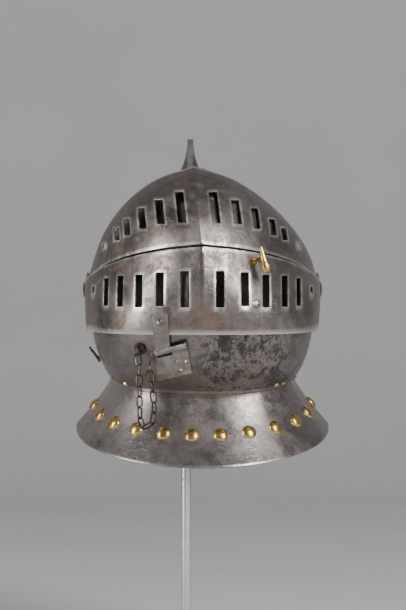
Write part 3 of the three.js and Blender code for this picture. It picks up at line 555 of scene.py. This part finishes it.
@dataclass(frozen=True)
class BowlForm:
    """A rounded form about the point midway between the two pivots."""

    centre: np.ndarray
    half_width: float = 111 * MM
    front: float = 130 * MM
    back: float = 124 * MM
    rise: float = 122 * MM
    drop: float = 124 * MM
    profile: float = 2.1
    crown: float = 1.74
    chin: float = 2.6
    keel: float = 3 * MM
    keel_spread: float = 0.13
    plate: float = 1.8 * MM

    def radius(self, way: np.ndarray) -> np.ndarray:
        """Distance from the centre to the form along unit directions."""
        depth = np.where(way[..., 1] < 0, self.front, self.back)
        height = np.where(way[..., 2] > 0, self.rise, self.drop)
        profile = (
            np.abs(way[..., 1] / depth) ** self.profile + np.abs(way[..., 2] / height) ** self.profile
        ) ** (1 / self.profile)
        sharp = self.chin + (self.crown - self.chin) * smoothstep(way[..., 2], -0.4, 0.2)
        total = np.abs(way[..., 0] / self.half_width) ** sharp + profile ** sharp
        keel = np.maximum(0.0, 1.0 - np.abs(way[..., 0]) / self.keel_spread)
        return total ** (-1 / sharp) + self.keel * keel ** 2 * smoothstep(way[..., 2], -0.5, 0.3)

    def ratio(self, spots: np.ndarray, inset: float) -> np.ndarray:
        """How far points from the centre lie outside the form, as a ratio."""
        reach = np.linalg.norm(spots, axis=-1)
        return reach / (self.radius(spots / reach[..., None]) - inset)

    def meet(self, place: Callable[[np.ndarray], np.ndarray], shape: tuple, inset: float) -> np.ndarray:
        """Finds where many lines, given by place(distance), meet the form at an inset."""
        found = closed_in(
            np.zeros(shape), np.full(shape, 2 * self.front),
            lambda reach: self.ratio(place(reach), inset) < 1, FORM_HALVINGS,
        )
        return place(found)

    def face(self, across: np.ndarray, rise: np.ndarray, inset: float) -> np.ndarray:
        """Points on the front, by their place across and up."""
        across, rise = np.broadcast_arrays(np.asarray(across, float), np.asarray(rise, float))
        return self.meet(
            lambda depth: np.stack([across, -depth - MM, rise], -1), across.shape, inset,
        )

    def ring(self, azimuth: np.ndarray, rise: np.ndarray, inset: float) -> np.ndarray:
        """Points round the form, by their azimuth from the front and their height."""
        azimuth, rise = np.broadcast_arrays(np.asarray(azimuth, float), np.asarray(rise, float))
        return self.meet(
            lambda reach: np.stack(
                [reach * np.sin(azimuth), -reach * np.cos(azimuth), rise], -1,
            ),
            azimuth.shape, inset,
        )

    def polar(self, lean: np.ndarray, turn: np.ndarray, inset: float) -> np.ndarray:
        """Points by their angle from the pivots' axis and their turn about it from the front."""
        lean, turn = np.broadcast_arrays(np.asarray(lean, float), np.asarray(turn, float))
        way = np.stack(
            [np.cos(lean), -np.sin(lean) * np.cos(turn), np.sin(lean) * np.sin(turn)], -1,
        )
        return way * (self.radius(way) - inset)[..., None]

    def across(self, place: np.ndarray, turn: np.ndarray, inset: float) -> np.ndarray:
        """Points at a place across and a turn about the pivots' axis."""
        place, turn = np.broadcast_arrays(np.asarray(place, float), np.asarray(turn, float))
        lean = closed_in(
            np.zeros(place.shape), np.full(place.shape, np.pi),
            lambda angle: self.polar(angle, turn, inset)[..., 0] > place, FORM_HALVINGS,
        )
        return self.polar(lean, turn, inset)

    def normal(self, spots: np.ndarray, inset: float) -> np.ndarray:
        """Outward normals at points on the form."""
        step = 0.5 * MM
        slopes = [
            self.ratio(spots + shift, inset) - self.ratio(spots - shift, inset)
            for shift in np.eye(3) * step
        ]
        found = np.stack(slopes, -1)
        return found / np.linalg.norm(found, axis=-1, keepdims=True)


def stand_plate(
    form: "BowlForm", name: str, sheet: np.ndarray, faces: list[tuple],
    finish: bpy.types.Material, body: str = HELMET,
) -> None:
    """Thickens a sheet, rounds its edges, marks them and lets it replace its node.

    Args:
        form: the bowl form, for the sheet's centre and thickness.
        name: the node that the plate replaces.
        sheet: the outer face's points, from the form's centre.
        faces: corner numbers of each face.
        finish: the plate's material.
        body: the body that it moves with.
    """
    points = sheet.reshape(-1, 3) + form.centre
    used = sorted({corner for face in faces for corner in face})
    number = {old: new for new, old in enumerate(used)}
    points = points[used]
    faces = [tuple(number[corner] for corner in face) for face in faces]
    border = border_points(points, faces, 0.7 * MM)
    piece = mesh_piece(f"{name}_plate", points, faces, finish, body)
    thick = piece.modifiers.new("thickness", "SOLIDIFY")
    thick.thickness = form.plate
    thick.offset = -1.0
    round_off = piece.modifiers.new("rounding", "BEVEL")
    round_off.width = 0.42 * MM
    round_off.segments = 2
    round_off.limit_method = "ANGLE"
    round_off.angle_limit = math.radians(50)
    settle(piece)
    mark_edges(piece, border, 1.5 * MM)
    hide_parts(name)
    log.info("%s: %d faces", piece.name, len(piece.data.polygons))


# Side-view lines of the plates, from the centre


@dataclass(frozen=True)
class PlateLines:
    """Where each plate of the head starts and ends in the side view."""

    ear: float = 17 * MM
    seam_rise: float = 41 * MM
    seam_bow: float = 5 * MM
    seam_gap: float = 3.6 * MM
    seam_side: float = 6 * MM
    reach: float = 150 * MM
    visor_top: float = math.radians(66)
    ventail_drop: float = 43 * MM
    ventail_side: float = 38 * MM
    bevor_top: float = 30 * MM
    brow: float = 47 * MM
    brow_run: float = 39.5 * MM
    skull_front: float = 32 * MM
    neck_side: float = 85 * MM
    neck_dip: float = 15 * MM
    neck_depth: float = 90 * MM
    bevor_back: float = 10 * MM
    lean: float = 8 * MM

    def seam(self, depth: np.ndarray, gap: float) -> np.ndarray:
        """Height of the seam between visor and ventail at a depth, lowered by a gap."""
        share = np.clip(-depth / self.reach, 0.0, 1.0)
        along = (1.1 - np.sqrt(1.21 - 0.4 * share)) / 0.2
        step = self.seam_rise - self.seam_side
        start = self.seam_side - (MM if gap else 0.0)
        middle = self.seam_side + step * 0.55 + self.seam_bow - gap
        end = self.seam_rise + step * 0.15 - gap
        return (1 - along) ** 2 * start + 2 * along * (1 - along) * middle + along ** 2 * end

    def neck(self, depth: np.ndarray) -> np.ndarray:
        """Height of the neck line, below the centre, at a depth."""
        return -(self.neck_side + self.neck_dip * np.maximum(-depth, 0) / self.neck_depth)

    def ear_top(self, depth: np.ndarray) -> np.ndarray:
        """Height of the ear's round edge at a depth."""
        return np.sqrt(np.maximum(self.ear ** 2 - depth ** 2, 0.0))


@dataclass(frozen=True)
class SlotRow:
    """One side's slots: places across as shares of the half width, and their heights."""

    across: tuple
    low: tuple
    high: tuple
    unit: float
    width: float = 8 * MM

    def columns(self, half_width: float, between: int, inside: int) -> tuple:
        """Places of grid columns across both sides.

        Args:
            half_width: the form's half width.
            between: columns from one slot to the next.
            inside: columns over one slot.

        Returns:
            The places, which columns start a cut cell, and each column's slot heights.
        """
        spots, cut, low, high = [0.0], [False], [self.low[0]], [self.high[0]]
        for place, bottom, top in zip(self.across, self.low, self.high):
            middle = place * half_width
            slant = math.sqrt(max(1 - place ** 2, 0.16))
            half = self.width / 2 * slant
            gap = np.linspace(spots[-1], middle - half, between + 1)[1:]
            for step, spot in enumerate(gap):
                share = (step + 1) / between
                spots.append(spot)
                low.append(low[-1] + (bottom - low[-1]) * share)
                high.append(high[-1] + (top - high[-1]) * share)
                cut.append(False)
            cut[-1] = True
            for step, spot in enumerate(np.linspace(middle - half, middle + half, inside + 1)[1:]):
                spots.append(spot)
                low.append(bottom)
                high.append(top)
                cut.append(step < inside - 1)
        right = np.array(spots)
        places = np.concatenate([-right[:0:-1], right])
        cut_right = np.array(cut)
        starts = np.concatenate([cut_right[:-1][::-1], cut_right])
        lows = np.array(low) * self.unit
        highs = np.array(high) * self.unit
        return (
            places, starts, np.concatenate([lows[:0:-1], lows]),
            np.concatenate([highs[:0:-1], highs]),
        )


VISOR_SLOTS = SlotRow(
    (0.141, 0.320, 0.478, 0.617, 0.712, 0.832),
    (0.495, 0.489, 0.456, 0.409, 0.375, 0.316),
    (0.742, 0.679, 0.620, 0.539, 0.473, 0.358),
    122 * MM,
)
VENTAIL_SLOTS = SlotRow(
    (0.145, 0.350, 0.526, 0.686, 0.810, 0.930),
    (-0.52, -0.49, -0.52, -0.50, -0.47, -0.12),
    (0.48, 0.45, 0.39, 0.37, 0.31, 0.08),
    33 * MM,
)


@dataclass
class HeadPlates:
    """Visor, ventail, bevor and skull: one form, four layers."""

    form: BowlForm
    finishes: Finishes
    lines: PlateLines = field(default_factory=PlateLines)
    visor_inset: float = 0.0
    ventail_inset: float = -3.0 * MM
    bevor_inset: float = 2.8 * MM
    skull_inset: float = 7.4 * MM
    dent: float = 0.42 * MM
    side_columns: int = 16
    comb_rise: float = 44 * MM
    comb_half_width: float = 14 * MM
    comb_offset: float = -12 * MM
    comb_foot: float = 0.9 * MM
    comb_start: float = 99.0
    comb_peak: float = 107.0
    comb_end: float = 205.0
    comb_levels: int = 15

    def build(self) -> None:
        """Builds the four plates and the comb."""
        self.visor()
        self.ventail()
        self.bevor()
        self.skull()
        self.comb()

    def dented(self, sheet: np.ndarray, inset: float, seed: float, rim: float = 1.0) -> np.ndarray:
        """Moves a sheet's points a little in and out, as hammered plate lies."""
        flat = sheet.reshape(-1, 3)
        out = self.form.normal(flat, inset)
        wave = np.array([
            noise.noise(Vector(spot) * 22.0 + Vector((seed, 0, 0)))
            + 0.45 * noise.noise(Vector(spot) * 60.0 + Vector((0, seed, 0)))
            for spot in flat
        ])
        return (flat + out * (wave * self.dent * rim)[:, None]).reshape(sheet.shape)

    def shares(self, counts: Sequence[int]) -> np.ndarray:
        """Row places running 0 to 1, 1 to 2 and so on, with the given counts."""
        return np.concatenate([
            start + np.linspace(0, 1, count, endpoint=False) for start, count in enumerate(counts)
        ] + [[float(len(counts))]])

    def visor(self) -> None:
        """Upper visor: between the seam and the brow, with its row of slots."""
        places, starts, low, high = VISOR_SLOTS.columns(self.form.half_width, 5, 4)
        inset = self.visor_inset

        def turn_where(test: Callable[[np.ndarray], np.ndarray]) -> np.ndarray:
            """Turn at which each column's point first passes a test."""
            return closed_in(
                np.zeros(len(places)), np.full(len(places), self.lines.visor_top),
                lambda turn: ~test(self.form.across(places, turn, inset)), EDGE_HALVINGS,
            )

        bottom = turn_where(lambda spot: spot[..., 2] > self.lines.seam(spot[..., 1], 0.0))
        slot_low = turn_where(lambda spot: spot[..., 2] > low)
        slot_high = turn_where(lambda spot: spot[..., 2] > high)
        top = np.full(len(places), self.lines.visor_top)
        stops = np.stack([bottom, slot_low, slot_high, top])
        counts = (6, 9, 9)
        rows = self.shares(counts)
        turns = np.array([
            [np.interp(row, range(4), stops[:, column]) for column in range(len(places))]
            for row in rows
        ])
        middle = self.form.across(places[None, :], turns, inset)
        side = self.visor_side(middle[:, -1], turns[:, -1], +1)
        other = self.visor_side(middle[:, 0], turns[:, 0], -1)
        sheet = np.concatenate([other[:, ::-1], middle, side], 1)
        cut = np.zeros((len(rows), sheet.shape[1]), bool)
        first = other.shape[1]
        cut[counts[0]:counts[0] + counts[1], first:first + len(places)] = starts[None, :]
        sheet = self.dented(sheet, inset, 3.0)
        share = smoothstep(sheet[..., 2], self.lines.seam_rise / 2, self.form.rise)
        sheet[..., 0] -= self.lines.lean * share
        faces = grid_faces(*sheet.shape[:2], cut)
        stand_plate(self.form, "visor", sheet, faces, self.finishes.visor, "visor")

    def visor_side(self, last: np.ndarray, turns: np.ndarray, side: int) -> np.ndarray:
        """Columns from the last slot back to the ear, narrowing along the seam."""
        lean = np.arctan2(np.hypot(last[:, 1], last[:, 2]), side * last[:, 0])
        end = math.asin(0.6 * self.lines.ear / self.form.half_width)
        columns = []
        for step in range(1, self.side_columns + 1):
            share = step / self.side_columns
            now = lean + (end - lean) * share
            spots = self.form.polar(now if side > 0 else np.pi - now, turns, self.visor_inset)
            columns.append(spots)
        return np.stack(columns, 1)

    def ventail(self) -> None:
        """Lower visor: a band at eye level that ends in the ears."""
        places, starts, low, high = VENTAIL_SLOTS.columns(self.form.half_width, 5, 4)
        inset = self.ventail_inset
        lines = self.lines

        def border(depth: np.ndarray, upper: bool) -> np.ndarray:
            """The band's lower or upper edge at a depth."""
            if upper:
                seam = lines.seam(depth, lines.seam_gap)
                return np.maximum(np.where(depth > 0, lines.ear_top(depth), seam),
                                  lines.ear_top(depth))
            share = (lines.ear - depth) / (lines.ear + lines.reach)
            return -lines.ventail_side - (lines.ventail_drop - lines.ventail_side) * share

        def settled(place: Callable[[np.ndarray], np.ndarray], upper: bool, count: int) -> np.ndarray:
            """Heights at which the columns meet an edge."""
            rise = np.zeros(count)
            for _ in range(EDGE_ROUNDS):
                rise = border(place(rise)[..., 1], upper)
            return rise

        def front(rise: np.ndarray) -> np.ndarray:
            """Points of the front columns at their heights."""
            return self.form.face(places, rise, inset)

        bottom = settled(front, False, len(places))
        top = settled(front, True, len(places))
        counts = (5, 12, 6)
        rows = self.shares(counts)
        stops = np.stack([bottom, low, high, top])
        rises = np.array([
            [np.interp(row, range(4), stops[:, column]) for column in range(len(places))]
            for row in rows
        ])
        middle = self.form.face(places[None, :], rises, inset)
        last = middle[len(rows) // 2, -1]
        start = math.atan2(last[0], -last[1])
        end = math.pi / 2 + math.asin(0.985 * lines.ear / self.form.half_width)
        turns = start + (end - start) * np.linspace(0, 1, 2 * self.side_columns + 1)[1:]
        side_low = settled(lambda rise: self.form.ring(turns, rise, inset), False, len(turns))
        side_high = settled(lambda rise: self.form.ring(turns, rise, inset), True, len(turns))
        held = (stops[1:3, -1] - stops[0, -1]) / (stops[3, -1] - stops[0, -1])
        blend = np.array([0.0, *held, 1.0])
        levels = np.interp(rows, range(4), blend)[:, None]
        side_rises = side_low[None, :] + (side_high - side_low)[None, :] * levels
        side = self.form.ring(turns[None, :], side_rises, inset)
        other = side * np.array([-1.0, 1.0, 1.0])
        sheet = np.concatenate([other[:, ::-1], middle, side], 1)
        cut = np.zeros((len(rows), sheet.shape[1]), bool)
        first = other.shape[1]
        cut[counts[0]:counts[0] + counts[1], first:first + len(places)] = starts[None, :]
        sheet = self.dented(sheet, inset, 7.0)
        faces = grid_faces(*sheet.shape[:2], cut)
        stand_plate(self.form, "ventail", sheet, faces, self.finishes.ventail)

    def bevor(self) -> None:
        """Chin plate: from under the ventail down to the neck."""
        inset = self.bevor_inset
        end = math.pi / 2 + math.asin(self.lines.bevor_back / self.form.half_width)
        turns = np.linspace(-end, end, 121)
        rise = np.full(len(turns), -self.lines.neck_side)
        for _ in range(EDGE_ROUNDS):
            rise = self.lines.neck(self.form.ring(turns, rise, inset)[..., 1]) + MM
        levels = np.linspace(0, 1, 26)[:, None]
        rises = rise[None, :] + (-self.lines.bevor_top - rise)[None, :] * levels
        sheet = self.form.ring(turns[None, :], rises, inset)
        sheet = self.dented(sheet, inset, 11.0, 1.2)
        stand_plate(self.form, "bevor", sheet, grid_faces(*sheet.shape[:2]), self.finishes.bevor)

    def skull(self) -> None:
        """Skull plate: the crown, the back and the sides under the other plates."""
        inset = self.skull_inset
        lines = self.lines
        turns = np.linspace(-np.pi, np.pi, 181)[:-1]

        def spot(climb: np.ndarray, around: np.ndarray) -> np.ndarray:
            """Points by their angle above the level plane and round it."""
            climb, around = np.broadcast_arrays(climb, around)
            way = np.stack([
                np.sin(around) * np.cos(climb), -np.cos(around) * np.cos(climb), np.sin(climb),
            ], -1)
            return way * (self.form.radius(way) - inset)[..., None]

        def below_edge(climb: np.ndarray) -> np.ndarray:
            """Whether points still lie below the brow or the neck line."""
            found = spot(climb, turns)
            depth = found[:, 1]
            share = np.clip((-depth - lines.skull_front) / lines.brow_run, 0, 1)
            edge = np.where(depth < -lines.skull_front, lines.brow * share ** 0.5, -lines.neck_side)
            return ~(found[:, 2] > edge)

        steepest = np.full(len(turns), 1.2)
        low = closed_in(-steepest, steepest, below_edge, EDGE_HALVINGS)
        levels = np.linspace(0, 1, 62)[:-1, None]
        climbs = low[None, :] + (np.pi / 2 - low)[None, :] * levels
        sheet = self.dented(spot(climbs, turns[None, :]), inset, 17.0)
        rows, columns = sheet.shape[:2]
        faces = grid_faces(rows, columns, closed=True)
        pole = rows * columns
        faces += [
            ((rows - 1) * columns + column, (rows - 1) * columns + (column + 1) % columns, pole)
            for column in range(columns)
        ]
        top = spot(np.array(np.pi / 2), np.array(0.0))
        points = np.concatenate([sheet.reshape(-1, 3), top[None]])
        stand_plate(self.form, "skull", points, faces, self.finishes.skull)

    def comb(self) -> None:
        """Raised comb over the crown and down the back, in one with the skull."""
        steps = np.linspace(0.0, 1.0, 90)
        count = self.comb_levels
        ups = np.concatenate([np.linspace(0, 1, count), np.linspace(1, 0, count)])
        hands = np.concatenate([-np.ones(count), np.ones(count)])
        first = self.comb_start + 1.5
        last = self.comb_end - 3.5
        angles = np.radians(first + (last - first) * steps)
        way = np.stack([np.zeros(len(steps)), -np.cos(angles), np.sin(angles)], -1)
        base = self.form.radius(way) - self.form.keel - self.skull_inset - self.comb_foot
        degrees = np.degrees(angles)
        fall = np.clip((degrees - self.comb_peak) / (self.comb_end - self.comb_peak), 0, 1)
        share = smoothstep(degrees, self.comb_start, self.comb_peak) * (1 - fall) ** 1.25
        ends = 2 * steps[:, None] - 1
        rise = self.comb_rise * share[:, None] * ups[None] * (1 - 0.06 * ends ** 2 * ups[None])
        width = self.comb_half_width * (0.26 + 0.74 * (1 - ups[None]) ** 2.2) * (
            1 - 0.35 * ups[None] * ends ** 4
        )
        reach = base[:, None] + rise
        sheet = np.stack([
            self.comb_offset + hands[None] * width,
            way[:, None, 1] * reach,
            way[:, None, 2] * reach,
        ], -1)
        points = sheet.reshape(-1, 3) + self.form.centre
        faces = grid_faces(*sheet.shape[:2])
        piece = mesh_piece("skull_comb", points, faces, self.finishes.skull)
        settle(piece)
        crown = (sheet[:, count - 1] + sheet[:, count]) / 2 + self.form.centre
        mark_edges(piece, crown, 2.5 * MM)
        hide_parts("skull")


# Gorget and its studs


@dataclass
class Gorget:
    """Neck plates and their brass studs."""

    form: BowlForm
    finishes: Finishes
    lines: PlateLines = field(default_factory=PlateLines)
    half_width: float = 121 * MM
    depth: float = 112 * MM
    side_drop: float = 131 * MM
    point_drop: float = 34 * MM
    nape_drop: float = 7 * MM
    collar_height: float = 8 * MM
    front_inset: float = 5.1 * MM
    rear_inset: float = 9.7 * MM
    front_span: float = math.radians(99)
    rear_start: float = math.radians(92)
    studs: int = 22
    stud_first: float = -6.0
    stud_share: float = 0.56
    stud_lift: float = 0.5 * MM

    def build(self) -> None:
        """Builds both plates and the studs."""
        self.plate("gorget_front", -self.front_span, self.front_span, self.front_inset, 23.0)
        self.plate(
            "gorget_rear", self.rear_start, 2 * np.pi - self.rear_start, self.rear_inset, 29.0,
        )
        self.stud_row()

    def spot(self, around: np.ndarray, share: np.ndarray, inset: float) -> np.ndarray:
        """Points by their azimuth and their share of the way from collar to rim."""
        around, share = np.broadcast_arrays(np.asarray(around, float), np.asarray(share, float))
        front = np.maximum(np.cos(around), 0.0)
        back = np.maximum(-np.cos(around), 0.0)
        waist = self.lines.neck_side + self.lines.neck_dip * front
        rim_drop = self.side_drop + self.point_drop * front ** 0.8 + self.nape_drop * back ** 2
        end = 1 / np.hypot(np.sin(around) / self.half_width, np.cos(around) / self.depth)
        end = end - (inset - self.front_inset)
        collar_rise = np.minimum(share, 0) * self.collar_height
        collar = self.form.ring(around, -waist - collar_rise, inset)
        start = np.hypot(collar[..., 0], collar[..., 1])
        flare = np.maximum(share, 0)
        reach = start + np.where(share > 0, (end - start) * flare ** 1.2, 0.0)
        height = np.where(share > 0, -waist - (rim_drop - waist) * flare, collar[..., 2])
        return np.stack([reach * np.sin(around), -reach * np.cos(around), height], -1)

    def plate(self, name: str, start: float, end: float, inset: float, seed: float) -> None:
        """One collar with its flared lower part."""
        around = np.linspace(start, end, 141)[None, :]
        share = np.concatenate([np.linspace(-1, 0, 5)[:-1], np.linspace(0, 1, 30)])[:, None]
        sheet = self.spot(around, share, inset)
        wave = np.array([
            noise.noise(Vector(spot) * 18.0 + Vector((seed, 0, 0)))
            for spot in sheet.reshape(-1, 3)
        ]).reshape(sheet.shape[:2])
        sheet[..., :2] *= (1 + 0.0035 * wave)[..., None]
        stand_plate(self.form, name, sheet, grid_faces(*sheet.shape[:2]), self.finishes.gorget)

    def seat(self, around: float, share: float, front: bool, lift: float) -> Matrix:
        """A frame on the outside of a plate, Z outwards."""
        inset = self.front_inset if front else self.rear_inset
        spot = self.spot(around, share, inset)
        side = self.spot(around + 0.01, share, inset) - spot
        down = self.spot(around, share + 0.01, inset) - spot
        out = Vector(np.cross(down, side)).normalized()
        if out.dot(Vector((math.sin(around), -math.cos(around), 0))) < 0:
            out.negate()
        across = Vector((0, 0, 1)).cross(out).normalized()
        rows = Matrix((across, out.cross(across), out)).transposed().to_4x4()
        rows.translation = Vector(spot + self.form.centre) + out * lift
        return rows

    def stud_row(self) -> None:
        """Domed brass studs, each on a thin foot ring."""
        arc = np.linspace(0, np.pi / 2, 9)
        dome = [(7.0 * math.cos(turn), 1.1 + 3.5 * math.sin(turn)) for turn in arc]
        profile = [(0.0, 0.0), (7.2, 0.0), (7.6, 0.35), (7.55, 0.8), (7.25, 1.05), *dome]
        profile = [(radius * MM, height * MM) for radius, height in profile]
        head_span = math.radians(3.6)
        for index in range(self.studs):
            around = math.radians(self.stud_first + index * 360 / self.studs)
            turn = abs((around + np.pi) % (2 * np.pi) - np.pi)
            on_front = turn < self.front_span + head_span
            seat = self.seat(around, self.stud_share, on_front, self.stud_lift)
            points, faces = turned_piece(profile, STUD_SIDES, seat)
            name = f"brass_stud_{index + 1:02d}"
            piece = mesh_piece(f"{name}_head", points, faces, self.finishes.brass)
            settle(piece)
            low = np.repeat([float(radius > 7.05 * MM) for radius, _ in profile], STUD_SIDES)
            mark(piece, "hollow", low)
            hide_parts(name)


@dataclass
class Dressing:
    """Finishes for the small parts and the stand, which keep their modelled shapes."""

    finishes: Finishes

    def build(self) -> None:
        """Gives each part that is left its own finish."""
        kinds = {
            "brass": self.finishes.brass, "dark_iron": self.finishes.iron,
            "chrome": self.finishes.chrome, "black_steel": self.finishes.coat,
            "steel_plate": self.finishes.small_steel,
        }
        chosen = {
            "neck_rivet_left_a": "brass", "neck_rivet_right_a": "brass",
            "neck_rivet_right_b": "brass", "catch_lever": "brass", "catch_post": "brass",
            "chain": "dark_iron", "chain_staple": "dark_iron",
            "hasp_pin": "dark_iron", "side_hook": "dark_iron", "stand_rod": "chrome",
            "stand_base": "black_steel", "stand_rest": "black_steel",
        }
        plates = ("visor", "ventail", "bevor", "skull", "gorget_front", "gorget_rear")
        for name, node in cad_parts.items():
            if name in plates or name.startswith("brass_stud"):
                continue
            finish = kinds[chosen.get(name, "steel_plate")]
            node.data.materials.clear()
            node.data.materials.append(finish)


# Camera, lights and backdrop


@dataclass
class Studio:
    """A pale floor, two soft boxes and the camera."""

    camera_place: tuple = (0.0005, -2.0, 0.347)
    view_height: float = 0.5917
    floor_colour: tuple = (0.78, 0.77, 0.76)

    def build(self) -> None:
        """Builds the whole studio."""
        self.floor()
        self.soft_box("key_light", (1.25, -1.5, 1.35), (0, 0, 0.33), (0.7, 1.5), 42.0)
        self.soft_box("side_light", (-1.6, -0.9, 0.75), (0, 0, 0.33), (0.45, 1.5), 20.0)
        self.surroundings()
        self.camera()

    def floor(self) -> None:
        """A floor that sweeps up into a wall."""
        profile = [(-6.0, 0.0), (1.6, 0.0)]
        profile += [
            (1.6 + 1.2 * math.sin(turn), 1.2 - 1.2 * math.cos(turn))
            for turn in np.linspace(0.1, np.pi / 2, 16)
        ]
        profile.append((2.8, 6.0))
        points = [(side * 7.0, depth, height) for side in (-1, 1) for depth, height in profile]
        mesh = bpy.data.meshes.new("floor")
        mesh.from_pydata(points, [], grid_faces(2, len(profile)))
        mesh.shade_smooth()
        sweep = bpy.data.objects.new("floor", mesh)
        bpy.context.scene.collection.objects.link(sweep)
        mesh.materials.append(Backdrop("floor_paper", self.floor_colour).make())

    def soft_box(
        self, name: str, place: tuple, aim: tuple, size: tuple, power: float,
    ) -> None:
        """A rectangular light aimed at a point."""
        lamp = bpy.data.lights.new(name, "AREA")
        lamp.shape = "RECTANGLE"
        lamp.size, lamp.size_y = size
        lamp.energy = power
        light = bpy.data.objects.new(name, lamp)
        light.location = place
        light.rotation_euler = (Vector(aim) - Vector(place)).to_track_quat("-Z", "Y").to_euler()
        bpy.context.scene.collection.objects.link(light)

    def surroundings(self) -> None:
        """Soft light from all around."""
        world = bpy.data.worlds.new("room")
        world.use_nodes = True
        background = world.node_tree.nodes["Background"]
        background.inputs["Color"].default_value = (0.62, 0.62, 0.64, 1.0)
        background.inputs["Strength"].default_value = 0.34
        bpy.context.scene.world = world

    def camera(self) -> None:
        """The camera, level and square to the front."""
        lens = bpy.data.cameras.new("camera")
        lens.sensor_fit = "VERTICAL"
        lens.sensor_height = 36.0
        lens.lens = lens.sensor_height * -self.camera_place[1] / self.view_height
        view = bpy.data.objects.new("camera", lens)
        view.location = self.camera_place
        view.rotation_euler = (math.pi / 2, 0.0, 0.0)
        bpy.context.scene.collection.objects.link(view)
        bpy.context.scene.camera = view


def bowl_centre() -> np.ndarray:
    """The point midway between the two pivot bolts."""
    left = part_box("pivot_bolt_left")
    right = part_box("pivot_bolt_right")
    total = sum((np.array(corner) for corner in (*left, *right)), np.zeros(3))
    return total / 4


def main() -> None:
    """Builds the helmet on its stand, and the studio around it."""
    logging.basicConfig(level=logging.INFO, format="%(message)s")
    finishes = Finishes()
    form = BowlForm(bowl_centre() * np.array([0.0, 1.0, 1.0]))
    HeadPlates(form, finishes).build()
    Gorget(form, finishes).build()
    Dressing(finishes).build()
    Studio().build()


if __name__ == "__main__":
    main()
